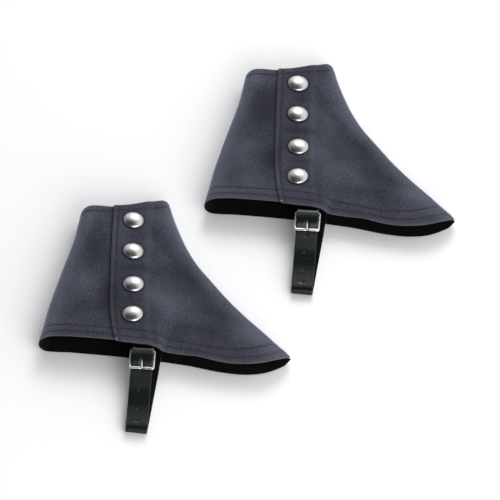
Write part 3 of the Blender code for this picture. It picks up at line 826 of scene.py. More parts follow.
def leather_finish(name, dark, light, rough, coat, depth, gloss):
    """Leather of one side: its two tones, its range of roughness, its coat and its grain's depth."""
    material, shader, tree = new_finish(name, light, rough[1])
    shader.inputs["Specular IOR Level"].default_value = gloss
    shader.inputs["Coat Weight"].default_value = coat
    shader.inputs["Coat Roughness"].default_value = COAT_ROUGHNESS
    place = object_place(tree)
    pebbles = use_group(tree, grain, place)
    smears = use_group(tree, handling, place, Smear_scale=110.0)
    tree.links.new(between(tree, smears.outputs["Mask"], dark, light), shader.inputs["Base Color"])
    tree.links.new(stretch(tree, smears.outputs["Mask"], *SMEARED, *rough), shader.inputs["Roughness"])
    bumped(tree, shader, pebbles.outputs["Height"], depth, 0.5)
    return material


def nickel_finish(name, dark, light, rough):
    """Nickel plate: its two tones where it is smeared and clean, and its range of roughness."""
    material, shader, tree = new_finish(name, light, rough[0], metallic=1.0)
    smears = use_group(tree, handling, object_place(tree))
    tree.links.new(between(tree, smears.outputs["Mask"], dark, light), shader.inputs["Base Color"])
    tree.links.new(stretch(tree, smears.outputs["Mask"], *SMEARED, *rough), shader.inputs["Roughness"])
    bumped(tree, shader, smears.outputs["Mask"], 0.00008, 0.4)
    return material


leather = leather_finish(
    "coated leather", (0.002, 0.004, 0.003), (0.007, 0.012, 0.009),
    rough=(0.22, 0.38), coat=0.26, depth=0.0003, gloss=0.12,
)
leather_back = leather_finish(
    "leather flesh side", (0.002, 0.002, 0.002), (0.006, 0.006, 0.006),
    rough=(0.8, 0.95), coat=0.0, depth=0.0005, gloss=0.1,
)
leather_edge = leather_finish(
    "leather cut edge", (0.04, 0.045, 0.04), (0.11, 0.12, 0.11),
    rough=(0.45, 0.6), coat=0.0, depth=0.0002, gloss=0.2,
)
cap_nickel = nickel_finish("stamped nickel", (0.40, 0.395, 0.38), (0.56, 0.56, 0.55), (0.24, 0.36))
wire_nickel = nickel_finish("drawn nickel wire", (0.70, 0.68, 0.62), (0.90, 0.89, 0.85), (0.2, 0.34))
leathers = [leather, leather_back, leather_edge]
print("leather finishes:", [finish.name for finish in leathers])
print("metal finishes:", cap_nickel.name, "/", wire_nickel.name)

# %% [markdown]
# ## Setting a piece down on both covers
# Every piece is made once in the cover's own frame. A helper copies its mesh, moves the copy to
# each cover, names it, lets it ride with the object and hides the solid it stands for.

# %% Placing pieces


def set_down(name, mesh, materials, node=None):
    """One copy of the mesh on each cover. node is the solid that it stands for."""
    placed = {}
    for cover, shift in SHIFTS.items():
        copy = mesh.copy()
        copy.transform(moved_by(shift))
        if not copy.materials:
            for material in materials:
                copy.materials.append(material)
        piece = bpy.data.objects.new(f"{cover}_{name}", copy)
        bpy.context.scene.collection.objects.link(piece)
        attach(piece, "root")
        if node:
            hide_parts(f"{cover}_{node}")
        placed[cover] = piece
    faces = sum(len(face.vertices) - 2 for face in mesh.polygons)
    print(f"{name}: {faces} triangles on each cover")
    return placed


# %% [markdown]
# ## The outer front
# The front panel runs from the folded flap edge, over the instep, down to the toe. Columns are
# close together at the flap and the instep, where grooves and folds need them, and rows are
# close at the hem and the top edge.

# %% Outer front
FELT_EDGE_ROUND = 0.55
ROWS = np.concatenate([
    np.linspace(0.0, 0.115, 24),
    np.linspace(0.115, 0.93, 74)[1:],
    np.linspace(0.93, 1.0, 14)[1:],
])[:, None]
HEEL_TURNS = np.linspace(SEAM_HALF_GAP / HEEL_ROUND, math.pi / 2, 11)[:-1]
INSTEP_TURNS = np.linspace(math.pi / 2, SEAM_HALF_GAP / INSTEP_ROUND, 9)[1:]


def columns_between(start, end, near, far, count):
    """Places from start to end: near and far list fixed steps in from each end, in millimetres."""
    shares = np.linspace(0.0, 1.0, count + 1)[1:-1]
    middle = start + near[-1] + (end - far[-1] - start - near[-1]) * shares
    return np.concatenate([start + near, middle, end - far[::-1]], axis=1)


def panel(name, face, blocks, rows=ROWS, flip=False):
    """A felt panel: the face's points over blocks of columns, thickened inwards."""
    parts = [face(zone, value, rows) for zone, value in blocks]
    points = np.concatenate([part[0] for part in parts], axis=1)
    masks = {label: np.concatenate([part[1][label] for part in parts], axis=1) for label in parts[0][1]}
    skin_mesh = grid_mesh(name, points, masks, flip=flip)
    area = area_of(skin_mesh)
    return thicken(skin_mesh, FELT, INWARDS, FELT_EDGE_ROUND), area, points


near_flap, near_instep = np.arange(0.0, 12.5), np.arange(0.0, 5.5)
front_columns = columns_between(flap_x(ROWS), instep_flat(ROWS), near_flap, near_instep, 92)
front_blocks = [("flat", front_columns), ("instep", INSTEP_TURNS[None, :])]
front_mesh, front_area, front_points = panel("front_panel", front_face, front_blocks)
front = set_down("front_panel", front_mesh, [felt], "outer_front")

# %% [markdown]
# ## The outer back and the inner side
# The back panel goes round the heel and runs on under the flap as far as the snaps reach. The
# inner side is the whole other half of the cover. It rests on the table, heel to toe.

# %% Outer back and inner side


def even_columns(start, end, count):
    """Evenly spaced places from start to end, along every row."""
    return start + (end - start) * np.linspace(0.0, 1.0, count)[None, :]


back_columns = even_columns(heel_flat(ROWS), flap_x(ROWS) + UNDERLAP, 66)
back_blocks = [("heel", HEEL_TURNS[None, :]), ("flat", back_columns)]
back_mesh, back_area, back_points = panel("back_panel", back_face, back_blocks)
back = set_down("back_panel", back_mesh, [felt], "outer_back")

UNDER_HEM_V = 0.012
under_rows = np.concatenate([[[UNDER_HEM_V]], ROWS[4:]])
under_blocks = [
    ("heel", HEEL_TURNS[None, :]),
    ("flat", even_columns(heel_flat(under_rows), instep_flat(under_rows), 90)),
    ("instep", INSTEP_TURNS[None, :]),
]
under_mesh, under_area, under_points = panel(
    "inner_panel", under_face, under_blocks, under_rows, flip=True
)
under = set_down("inner_panel", under_mesh, [felt], "inner_side")

# %% [markdown]
# ## The lining
# The lining is a black tube inside the felt, a thumb's width of it in sight at the open hem.
# On the lower side it hangs a little past the felt, so no grey rim shows there, and where the
# felt is drawn up at the heel and the toe it rolls out flush. It is one ring of points at each
# height, on the same rule as the felt but set in.

# %% Lining
LINING_HEM_V, LINING_TOP_V = 0.008, 0.992
LINING_PROUD, LINING_PROUD_V = 3.5, 0.05
ROLL_START, ROLL_SPREAD = 1.0, 0.6
LINING_EDGE_ROUND = 0.25


def lining_face(zone, value, v, side):
    value, v = np.broadcast_arrays(value, v)
    rolled = np.zeros_like(v)
    if zone in BARED:
        turned = 1 - np.sin(value)
        rolled = turned ** 2 * (1 - ease((v / BARED[zone] - ROLL_START) / ROLL_SPREAD))
        v = v - LINING_HEM_V * turned * (1 - ease(v / BARED[zone]))
    points, rise = skin(zone, value, v, side, LINING_INSET * (1 - rolled))
    x = points[..., 0]
    below = (1 - side * rise) / 2
    points[..., 1] += heel_tuck(x, v) * below
    lap = ease((x - flap_x(np.zeros_like(v))) / UNDERLAP)
    points[..., 1] -= hem_drop(x, v) * lap * (1 - below)
    points[..., 1] -= LINING_PROUD * below * (1 - ease(v / LINING_PROUD_V))
    creases = UPPER_CREASES if side > 0 else UNDER_CREASES
    points[..., 2] += dents(x, points[..., 1], creases) * rise
    return points


lining_rows = np.concatenate([
    np.linspace(LINING_HEM_V, 0.03, 9),
    np.linspace(0.03, 0.1, 8)[1:],
    np.linspace(0.1, LINING_TOP_V, 56)[1:],
])[:, None]
lining_flat = even_columns(heel_flat(lining_rows), instep_flat(lining_rows), 80)
heel_turns = np.linspace(0.0, math.pi / 2, 9)[None, :-1]
instep_turns = np.linspace(math.pi / 2, 0.0, 7)[None, 1:]
lining_points = np.concatenate([
    lining_face("heel", heel_turns, lining_rows, 1),
    lining_face("flat", lining_flat, lining_rows, 1),
    lining_face("instep", instep_turns, lining_rows, 1),
    lining_face("instep", instep_turns[:, -2::-1], lining_rows, -1),
    lining_face("flat", lining_flat[:, ::-1], lining_rows, -1),
    lining_face("heel", heel_turns[:, :0:-1], lining_rows, -1),
], axis=1)
lining_skin = grid_mesh("lining_tube", lining_points, ring=True)
lining_mesh = thicken(lining_skin, LINING, INWARDS, LINING_EDGE_ROUND)
lining = set_down("lining_tube", lining_mesh, [lining_cloth], "lining")

# %% [markdown]
# ## Rows of stitches
# A lockstitch row is the same short bead of thread again and again. Geometry Nodes lay them:
# the tree turns each row's line into a curve, cuts it at an even pitch and sets one stitch on
# every point, along the row and out of the cloth. Realize Instances makes them real mesh.

# %% The stitch tree
STITCH_VARIES = (0.88, 1.08)
THREAD_FLATNESS = 0.7


def stitch_tree():
    tree = bpy.data.node_groups.new("stitch rows", "GeometryNodeTree")
    face = tree.interface
    face.new_socket("Rows", in_out="INPUT", socket_type="NodeSocketGeometry")
    for label in ("Stitch length", "Pitch", "Thread width"):
        face.new_socket(label, in_out="INPUT", socket_type="NodeSocketFloat")
    face.new_socket("Seed", in_out="INPUT", socket_type="NodeSocketInt")
    face.new_socket("Finish", in_out="INPUT", socket_type="NodeSocketMaterial")
    face.new_socket("Stitches", in_out="OUTPUT", socket_type="NodeSocketGeometry")

    def add(kind, **settings):
        node = tree.nodes.new(kind)
        for label, value in settings.items():
            setattr(node, label, value)
        return node

    def join(source, target):
        tree.links.new(source, target)

    start, end = add("NodeGroupInput"), add("NodeGroupOutput")
    curve = add("GeometryNodeMeshToCurve")
    cut = add("GeometryNodeResampleCurve", mode="LENGTH")
    bead = add("GeometryNodeMeshUVSphere")
    bead.inputs["Segments"].default_value = 6
    bead.inputs["Rings"].default_value = 5
    bead.inputs["Radius"].default_value = 0.5
    along = add("FunctionNodeAlignRotationToVector", axis="X")
    out = add("FunctionNodeAlignRotationToVector", axis="Z", pivot_axis="X")
    up = add("GeometryNodeInputNamedAttribute", data_type="FLOAT_VECTOR")
    up.inputs["Name"].default_value = "up"
    size = add("ShaderNodeCombineXYZ")
    chance = add("FunctionNodeRandomValue", data_type="FLOAT")
    chance.inputs["Min"].default_value, chance.inputs["Max"].default_value = STITCH_VARIES
    length = add("ShaderNodeMath", operation="MULTIPLY")
    flat = add("ShaderNodeMath", operation="MULTIPLY")
    flat.inputs[1].default_value = THREAD_FLATNESS
    place = add("GeometryNodeInstanceOnPoints")
    real = add("GeometryNodeRealizeInstances")
    dress = add("GeometryNodeSetMaterial")
    join(start.outputs["Rows"], curve.inputs["Mesh"])
    join(curve.outputs["Curve"], cut.inputs["Curve"])
    join(start.outputs["Pitch"], cut.inputs["Length"])
    join(cut.outputs["Curve"], place.inputs["Points"])
    join(bead.outputs["Mesh"], place.inputs["Instance"])
    join(add("GeometryNodeInputTangent").outputs["Tangent"], along.inputs["Vector"])
    join(along.outputs["Rotation"], out.inputs["Rotation"])
    join(next(s for s in up.outputs if s.name == "Attribute" and s.enabled), out.inputs["Vector"])
    join(out.outputs["Rotation"], place.inputs["Rotation"])
    join(start.outputs["Seed"], chance.inputs["Seed"])
    join(start.outputs["Stitch length"], length.inputs[0])
    join(next(s for s in chance.outputs if s.enabled), length.inputs[1])
    join(start.outputs["Thread width"], flat.inputs[0])
    join(length.outputs[0], size.inputs["X"])
    join(start.outputs["Thread width"], size.inputs["Y"])
    join(flat.outputs[0], size.inputs["Z"])
    join(size.outputs[0], place.inputs["Scale"])
    join(place.outputs["Instances"], real.inputs["Geometry"])
    join(real.outputs["Geometry"], dress.inputs["Geometry"])
    join(start.outputs["Finish"], dress.inputs["Material"])
    join(dress.outputs["Geometry"], end.inputs["Stitches"])
    return tree


stitches = stitch_tree()
print("the stitch tree has", len(stitches.nodes), "nodes")

# %% [markdown]
# ## Laying the rows
# Each row is a line of points on a panel's face, with the direction out of the cloth kept as an
# attribute for the tree. The modifier's inputs are set by their identifiers, before the object
# is first evaluated, and the result is turned into a plain mesh.

# %% Sewing
STITCH_LENGTH, STITCH_PITCH, THREAD_WIDTH = 2.5, 3.3, 0.75
ROW_STEP_V = 0.004
TURN_STEP, X_STEP = 0.05, 0.5
THREAD_PROUD = 0.1


def on_cloth(line, across, side=1):
    """A row's points, a hair out of the cloth, and the directions out of it."""
    up = np.cross(np.gradient(line, axis=0), across)
    up /= np.linalg.norm(up, axis=1, keepdims=True)
    up *= np.sign(up[:, 2:3]) * side
    return line + up * THREAD_PROUD, up


def sewn_row(face, spans, side=1):
    """A row's points and the directions out of the cloth. spans lists (zone, values, v)."""
    lines, fronts, backs = [], [], []
    for zone, value, v in spans:
        value, v = np.broadcast_arrays(np.asarray(value, dtype=float), np.asarray(v, dtype=float))
        lines.append(face(zone, value, v)[0])
        fronts.append(face(zone, value, np.minimum(v + ROW_STEP_V, 1.0))[0])
        backs.append(face(zone, value, np.maximum(v - ROW_STEP_V, 0.0))[0])
    return on_cloth(np.concatenate(lines), np.concatenate(fronts) - np.concatenate(backs), side)


def climbing_row(face, zone, value, v):
    """A row that runs up the cover, where value gives its place at each height."""
    step = TURN_STEP if zone == "instep" else X_STEP
    across = face(zone, value + step, v)[0] - face(zone, value - step, v)[0]
    return on_cloth(face(zone, value, v)[0], across)


def sew(name, rows, material, length=STITCH_LENGTH, pitch=STITCH_PITCH, width=THREAD_WIDTH, seed=4):
    """Real stitches along the rows, as one mesh."""
    points, ups, edges = [], [], []
    for line, up in rows:
        first = len(points)
        points += line.tolist()
        ups += up.tolist()
        edges += [(i, i + 1) for i in range(first, first + len(line) - 1)]
    mesh = bpy.data.meshes.new(name)
    mesh.from_pydata((np.array(points) * MM).tolist(), edges, [])
    directions = mesh.attributes.new("up", "FLOAT_VECTOR", "POINT")
    directions.data.foreach_set("vector", np.array(ups).ravel())
    piece = scratch_piece(name, mesh)
    sewing = piece.modifiers.new("sewing", "NODES")
    sewing.node_group = stitches
    values = {
        "Stitch length": length * MM,
        "Pitch": pitch * MM,
        "Thread width": width * MM,
        "Seed": seed,
        "Finish": material,
    }
    for item in stitches.interface.items_tree:
        if item.in_out == "INPUT" and item.name in values:
            sewing[item.identifier] = values[item.name]
    sewn = settled(piece)
    sewn.shade_smooth()
    return sewn


def level_row_spans(v, start_zone, start_x, end_zone, end_x):
    """A level row as spans: round the heel edge, along the flat, and round the instep edge."""
    spans = []
    if start_zone == "heel":
        spans.append(("heel", np.linspace(0.3, math.pi / 2, 8)[:-1], v))
    spans.append(("flat", np.linspace(start_x, end_x, 90), v))
    if end_zone == "instep":
        spans.append(("instep", np.linspace(math.pi / 2, 0.4, 7)[1:], v))
    return spans


CLIMB = np.linspace(0.004, 0.996, 120)
rows = []
for v in (*HEM_ROWS_V, TOP_ROW_V):
    start, stop, last = heel_flat(np.array(v)), flap_x(np.array(v)), instep_flat(np.array(v))
    rows.append(sewn_row(back_face, level_row_spans(v, "heel", start, "", stop - 1.0)))
    rows.append(sewn_row(front_face, level_row_spans(v, "", stop + FLAP_ROW, "instep", last)))
    rows.append(sewn_row(under_face, level_row_spans(v, "heel", start, "instep", last), side=-1))
rows.append(climbing_row(front_face, "flat", flap_x(CLIMB) + FLAP_ROW, CLIMB))
rows.append(climbing_row(front_face, "instep", np.full_like(CLIMB, INSTEP_ROW_ANGLE), CLIMB))
set_down("stitching", sew("stitching", rows, thread), [thread])

TACK_X = np.linspace(1.2, 2.6, 4)
TACK_V = np.full(4, 0.008)
tack_row = sewn_row(front_face, [("flat", flap_x(TACK_V) + TACK_X, TACK_V)])
tack = sew("corner_tack", [tack_row], pale_thread, length=1.5, pitch=1.3, width=0.8, seed=1)
set_down("corner_tack", tack, [pale_thread])

# %% [markdown]
# ## Snap caps
# Four press snaps close the flap. Each cap is stamped from thin nickel: a low dome, a small
# groove, and a rim rolled over the socket behind it. Such a shape is a profile spun round an
# axis, so a short table of radius and height is enough.

# %% Snap caps
CAP_DOME, CAP_SHOULDER, CAP_FULLNESS = 5.0, 1.25, 1.45
CROWN_RADIUS, CROWN_END = 11.0, math.radians(86)
CAP_RIM = (
    (11.05, 1.2), (11.15, 1.1), (11.32, 1.08), (11.46, 0.92), (11.5, 0.62), (11.42, 0.3), (11.2, 0.08),
)
CAP_BACK = ((10.9, 0.0), (9.5, 0.0), (0.0, 0.0))
CAP_SIDES = 72
SEAT_HALVINGS = 30


def cap_profile():
    """Radius and height down the cap, from the crown to the middle of its flat back."""
    crown = []
    for turn in np.linspace(0.0, CROWN_END, 18):
        rise = (CAP_DOME - CAP_SHOULDER) * math.cos(turn) ** CAP_FULLNESS
        crown.append((CROWN_RADIUS * math.sin(turn), CAP_SHOULDER + rise))
    return [*crown, *CAP_RIM, *CAP_BACK]


def spun(name, profile, sides):
    """A closed turned shape. The profile starts and ends on the axis."""
    work = bmesh.new()
    first = work.verts.new((0, 0, profile[0][1] * MM))
    last = work.verts.new((0, 0, profile[-1][1] * MM))
    rings = []
    turns = [math.tau * step / sides for step in range(sides)]
    for radius, height in profile[1:-1]:
        spots = [(radius * math.cos(a) * MM, radius * math.sin(a) * MM, height * MM) for a in turns]
        rings.append([work.verts.new(spot) for spot in spots])
    for step in range(sides):
        after = (step + 1) % sides
        work.faces.new((first, rings[0][step], rings[0][after]))
        for upper, lower in zip(rings, rings[1:]):
            work.faces.new((upper[step], lower[step], lower[after], upper[after]))
        work.faces.new((rings[-1][step], last, rings[-1][after]))
    bmesh.ops.recalc_face_normals(work, faces=work.faces[:])
    mesh = bpy.data.meshes.new(name)
    work.to_mesh(mesh)
    work.free()
    mesh.shade_smooth()
    return mesh


def plain_front(x, v):
    """The front panel's face without creases, which the solids stand on."""
    x, v = np.array(float(x)), np.array(float(v))
    point, _ = skin("flat", x, v, 1, -lap_lift(x, v))
    point[1] -= hem_drop(x, v)
    return Vector(point)


def cap_seat(x, y):
    """Where a cap stands on the front panel, and which way it faces."""
    low, high = 0.0, 1.0
    for _ in range(SEAT_HALVINGS):
        v = (low + high) / 2
        low, high = (v, high) if plain_front(x, v).y < y else (low, v)
    reach = BUTTON_RADIUS / 2
    rise = reach / (HEEL_TOP_Y - HEEL_HEM_Y)
    middle = plain_front(x, v)
    along = plain_front(x + reach, v) - plain_front(x - reach, v)
    up = plain_front(x, v + rise) - plain_front(x, v - rise)
    normal = along.cross(up).normalized()
    steps = [(a, b) for a in (-1, 0, 1) for b in (-1, 0, 1)]
    around = [plain_front(x + a * BUTTON_RADIUS, v + b * 2 * rise) for a, b in steps]
    bulge = max((point - middle).dot(normal) for point in around)
    return middle + normal * (GAP + max(bulge, 0.0)), normal


cap = spun("cap", cap_profile(), CAP_SIDES)
for number, (x, y) in enumerate(zip(*BUTTONS.values()), start=1):
    seat, normal = cap_seat(x, y)
    turned = cap.copy()
    turned.transform(normal.to_track_quat("Z", "Y").to_matrix().to_4x4())
    turned.transform(moved_by(seat))
    set_down(f"snap_{number}", turned, [cap_nickel], f"button_{number}")

# %% [markdown]
# ## Strap and anchor tab
# The strap comes out from under the hem, climbs over the buckle's near bar, dives under its far
# bar, runs down and folds back under the foot. A ribbon is its middle line plus a width, and the
# holes are cut in the grid: the ring of points round each is pulled to a circle.

# %% Ribbons with holes
STRAP_WIDTH, STRAP_THICK = 24.4, 1.5
FOLD_X, FOLD_Y, FOLD_RADIUS = 111.5, -118.0, 4.4
UPPER_LEAN, UNDER_LEAN = math.radians(4.0), math.radians(8.3)
STRAP_UPPER = table(
    "y z",
    (5.0, 24.4), (-5.0, 24.4), (-13.0, 24.5), (-15.6, 25.2), (-17.0, 26.35), (-18.4, 27.6),
    (-20.5, 28.35), (-25.0, 28.45), (-29.0, 28.1), (-32.0, 27.3), (-34.5, 25.9), (-36.6, 23.9),
    (-38.4, 21.4), (-40.2, 18.9), (-42.0, 18.0), (-44.5, 17.75), (-48.0, 17.5), (-60.0, 16.4),
    (-70.0, 15.3), (-78.0, 13.8), (-88.0, 11.7), (-98.0, 10.6), (-110.0, 9.9),
)
STRAP_UNDER = table(
    "y z",
    (-98.0, 0.75), (-78.0, 0.75), (-58.0, 0.75), (-40.0, 0.75), (-31.0, 1.3), (-24.0, 3.2),
    (-18.0, 4.45), (-8.0, 4.45), (15.0, 4.45),
)
HOLE_COLUMNS = np.array([-1.0, -0.5, 0.0, 0.5, 1.0])
HOLE_CLEAR, STATION_STEP = 0.6, 1.5
WITHIN = 1.001
STRAP_EDGE_ROUND, TAB_EDGE_ROUND = 0.3, 0.2
TABLE_CLEAR = 0.03


def on_line(y, lean):
    """Where the strap's middle line is at this height, on a run that leans off the y axis."""
    return FOLD_X + math.tan(lean) * (y - FOLD_Y)


def path_through(points, leans):
    """A smooth path through points: its length, and a function that reads it at a distance."""
    points, leans = np.array(points), np.array(leans)
    distance = np.concatenate([[0], np.cumsum(np.linalg.norm(np.diff(points, axis=0), axis=1))])

    def read(s):
        place = np.stack([smooth(s, distance, points[:, axis]) for axis in range(3)], axis=-1)
        return place, np.interp(s, distance, leans)

    return distance[-1], read


def ribbon(name, length, read, width, thick, holes, rim, columns=7):
    """A flat strip along a path. holes lists (distance, half length, half width) on its middle."""
    half_hole = max(hole[2] for hole in holes)
    stations = list(np.linspace(0.0, length, int(length / STATION_STEP)))
    for at, half, _ in holes:
        stations = [s for s in stations if abs(s - at) > half + HOLE_CLEAR]
        stations += list(at + half * HOLE_COLUMNS)
    s = np.array(sorted(stations))
    side = np.linspace(half_hole * 2, width / 2, columns)
    t = np.concatenate([-side[::-1], HOLE_COLUMNS * half_hole, side])
    s_grid, t_grid = (array.copy() for array in np.meshgrid(s, t, indexing="ij"))
    cut = np.zeros((len(s) - 1, len(t) - 1), dtype=bool)
    for at, half, half_width in holes:
        a, b = (s_grid - at) / half, t_grid / half_hole
        inside = (np.abs(a) < WITHIN) & (np.abs(b) < WITHIN)
        reach = np.maximum(np.hypot(a, b), 0.001)
        s_grid = np.where(inside, at + half * a / reach, s_grid)
        t_grid = np.where(inside, half_width * b / reach, t_grid)
        cut |= inside[:-1, :-1] & inside[1:, :-1] & inside[:-1, 1:] & inside[1:, 1:]
    place, lean = read(s_grid.ravel())
    place[:, 2] = np.maximum(place[:, 2], thick / 2 + TABLE_CLEAR)
    across = np.stack([np.cos(lean), -np.sin(lean), np.zeros_like(lean)], axis=-1)
    points = (place + across * t_grid.ravel()[:, None]).reshape(*s_grid.shape, 3)
    mesh = grid_mesh(name, points, flip=True)
    work = bmesh.new()
    work.from_mesh(mesh)
    work.faces.ensure_lookup_table()
    gone = [work.faces[i] for i in np.flatnonzero(cut.ravel())]
    bmesh.ops.delete(work, geom=gone, context="FACES")
    loose = [corner for corner in work.verts if not corner.link_faces]
    bmesh.ops.delete(work, geom=loose, context="VERTS")
    work.to_mesh(mesh)
    work.free()
    return thicken(mesh, thick, BOTH_WAYS, rim, leathers)


def strap_path():
    points = [(on_line(y, UPPER_LEAN), y, z) for y, z in zip(*STRAP_UPPER.values())]
    leans = [UPPER_LEAN] * len(points)
    fold_z = STRAP_THICK / 2 + FOLD_RADIUS
    for share in np.linspace(0.0, 1.0, 13):
        out = FOLD_RADIUS * math.sin(math.pi * share)
        lean = UPPER_LEAN + (UNDER_LEAN - UPPER_LEAN) * share
        height = fold_z + FOLD_RADIUS * math.cos(math.pi * share)
        points.append((FOLD_X - out * math.sin(lean), FOLD_Y - out * math.cos(lean), height))
        leans.append(lean)
    for y, z in zip(*STRAP_UNDER.values()):
        points.append((on_line(y, UNDER_LEAN), y, z))
        leans.append(UNDER_LEAN)
    return path_through(points, leans)


strap_length, strap_read = strap_path()
upper_run = np.linspace(0.0, strap_length / 2, 1200)
run_y = strap_read(upper_run)[0][:, 1]


def distance_at(y):
    """How far along the upper run the strap reaches this height."""
    return float(upper_run[np.argmax(run_y <= y)])


PRONG_HOLE = (distance_at(-36.5), 3.9, 1.9)
BUCKLE_HOLES_Y, HOLE_RADIUS = (-49.5, -71.0, -94.0, -111.0), 1.25
strap_holes = [PRONG_HOLE] + [(distance_at(y), HOLE_RADIUS, HOLE_RADIUS) for y in BUCKLE_HOLES_Y]
strap_mesh = ribbon(
    "strap", strap_length, strap_read, STRAP_WIDTH, STRAP_THICK, strap_holes, STRAP_EDGE_ROUND
)
set_down("leather_strap", strap_mesh, leathers, "strap")
print("the strap in sight is", round(strap_length), "mm long, with", len(strap_holes), "holes")

# %% [markdown]
# ## The tab that holds the buckle
# A short leather tab is sewn inside the hem, goes round the buckle's near bar and comes back. It
# is a ribbon too, with a slot where it turns, which lets the prong through.

# %% Anchor tab
HEEL_BAR_Y, HEEL_BAR_Z = -20.5, 24.2
END_BAR_Y, END_BAR_Z = -42.5, 20.5
BAR_RADIUS = 1.5
TAB_THICK = 1.2
TAB_LAYERS = table(
    "y upper_z lower_z",
    (9.0, 22.75, 21.25), (-4.0, 22.75, 21.25), (-13.0, 22.75, 21.25), (-15.4, 23.25, 21.35),
    (-18.0, 25.05, 21.8),
)
TAB_SLOT_HALF_LENGTH, TAB_SLOT_HALF_WIDTH = 8.6, 2.0


def tab_path():
    radius = BAR_RADIUS + GAP + TAB_THICK / 2
    outline = list(zip(TAB_LAYERS["y"], TAB_LAYERS["upper_z"]))
    for turn in np.linspace(math.pi / 2, math.pi * 3 / 2, 13):
        outline.append((HEEL_BAR_Y + radius * math.cos(turn), HEEL_BAR_Z + radius * math.sin(turn)))
    outline += list(zip(TAB_LAYERS["y"], TAB_LAYERS["lower_z"]))[::-1]
    points = [(on_line(y, UPPER_LEAN), y, z) for y, z in outline]
    return path_through(points, [UPPER_LEAN] * len(points))


tab_length, tab_read = tab_path()
tab_slot = (tab_length / 2, TAB_SLOT_HALF_LENGTH, TAB_SLOT_HALF_WIDTH)
tab_mesh = ribbon("tab", tab_length, tab_read, STRAP_WIDTH, TAB_THICK, [tab_slot], TAB_EDGE_ROUND)
set_down("anchor_tab", tab_mesh, leathers, "buckle_tab")

# %% [markdown]
# ## The buckle
# The frame is a bent and soldered wire, a little flattened on its sides, with a shallow notch in
# the far bar that the prong drops into. The prong is curled round the near bar. Both are wires
# carried along a line, so one sweep makes them.

# %% Swept wires
FRAME_INNER_WIDTH, SIDE_BAR, CORNER_RADIUS = 25.0, 2.2, 2.4
PRONG_HALF_WIDTH, PRONG_EYE_HALF, PRONG_HALF_THICK = 1.25, 0.6, 0.8
PRONG_OVERHANG = 1.3
PRONG_TIP = ((0.95, 0.92), (0.98, 0.75), (1.0, 0.45))    # shares of its length, and of its size
PRONG_TIP_START = 0.92
NOTCH_DEPTH, NOTCH_REACH = 0.3, 1.3
SIDE_HEIGHT = 0.86
FRAME_FULLNESS, PRONG_FULLNESS = 0.55, 0.75
WIRE_SIDES = 24


def squarer(value, fullness):
    """A sine or cosine pushed outwards: 1 gives an oval section, less gives a flatter one."""
    return math.copysign(abs(value) ** fullness, value)


def sweep(name, middles, widths, normals, halves, heights, fullness, closed=False):
    """A bar with an oval or flattened section, carried along its middle line."""
    work = bmesh.new()
    rings = []
    for middle, width, normal, across, up in zip(middles, widths, normals, halves, heights):
        turns = [math.tau * (step + 0.5) / WIRE_SIDES for step in range(WIRE_SIDES)]
        spots = []
        for turn in turns:
            out = width * across * squarer(math.cos(turn), fullness)
            spots.append(middle + out + normal * up * squarer(math.sin(turn), fullness))
        rings.append([work.verts.new(spot * MM) for spot in spots])
    pairs = list(zip(rings, rings[1:] + rings[:1])) if closed else list(zip(rings, rings[1:]))
    for one, two in pairs:
        for step in range(WIRE_SIDES):
            after = (step + 1) % WIRE_SIDES
            work.faces.new((one[step], one[after], two[after], two[step]))
    if not closed:
        work.faces.new(rings[0])
        work.faces.new(rings[-1])
    bmesh.ops.recalc_face_normals(work, faces=work.faces[:])
    mesh = bpy.data.meshes.new(name)
    work.to_mesh(mesh)
    work.free()
    mesh.shade_smooth()
    return mesh


heel_bar = Vector((on_line(HEEL_BAR_Y, UPPER_LEAN), HEEL_BAR_Y, HEEL_BAR_Z))
end_bar = Vector((on_line(END_BAR_Y, UPPER_LEAN), END_BAR_Y, END_BAR_Z))
across_bar = Vector((math.cos(UPPER_LEAN), -math.sin(UPPER_LEAN), 0))
along_frame = (end_bar - heel_bar).normalized()
up_frame = along_frame.cross(across_bar).normalized()
frame_length = (end_bar - heel_bar).length


def frame_wire():
    half = (FRAME_INNER_WIDTH + SIDE_BAR) / 2
    corners = ((half, 0.0, 0), (half, frame_length, 1), (-half, frame_length, 2), (-half, 0.0, 3))
    middles, widths, halves, heights = [], [], [], []
    for x, y, quarter in corners:
        centre_x = x - math.copysign(CORNER_RADIUS, x)
        centre_y = y + (CORNER_RADIUS if y == 0.0 else -CORNER_RADIUS)
        for step in range(10):
            turn = math.radians(-90 + 90 * quarter + 10 * step)
            out = (math.cos(turn), math.sin(turn))
            place = (centre_x + CORNER_RADIUS * out[0], centre_y + CORNER_RADIUS * out[1])
            middles.append(heel_bar + across_bar * place[0] + along_frame * place[1])
            widths.append(across_bar * out[0] + along_frame * out[1])
            on_bar = abs(out[1])
            halves.append(SIDE_BAR / 2 + (BAR_RADIUS - SIDE_BAR / 2) * on_bar)
            heights.append(BAR_RADIUS * (SIDE_HEIGHT + (1 - SIDE_HEIGHT) * on_bar))
        if quarter == 1:
            for place_x in np.linspace(half - CORNER_RADIUS, CORNER_RADIUS - half, 30)[1:-1]:
                notch = 1 - NOTCH_DEPTH * float(bell(place_x, NOTCH_REACH))
                middles.append(heel_bar + across_bar * place_x + along_frame * frame_length)
                widths.append(along_frame.copy())
                halves.append(BAR_RADIUS * notch)
                heights.append(BAR_RADIUS * notch)
    normals = [up_frame] * len(middles)
    return sweep("frame", middles, widths, normals, halves, heights, FRAME_FULLNESS, closed=True)


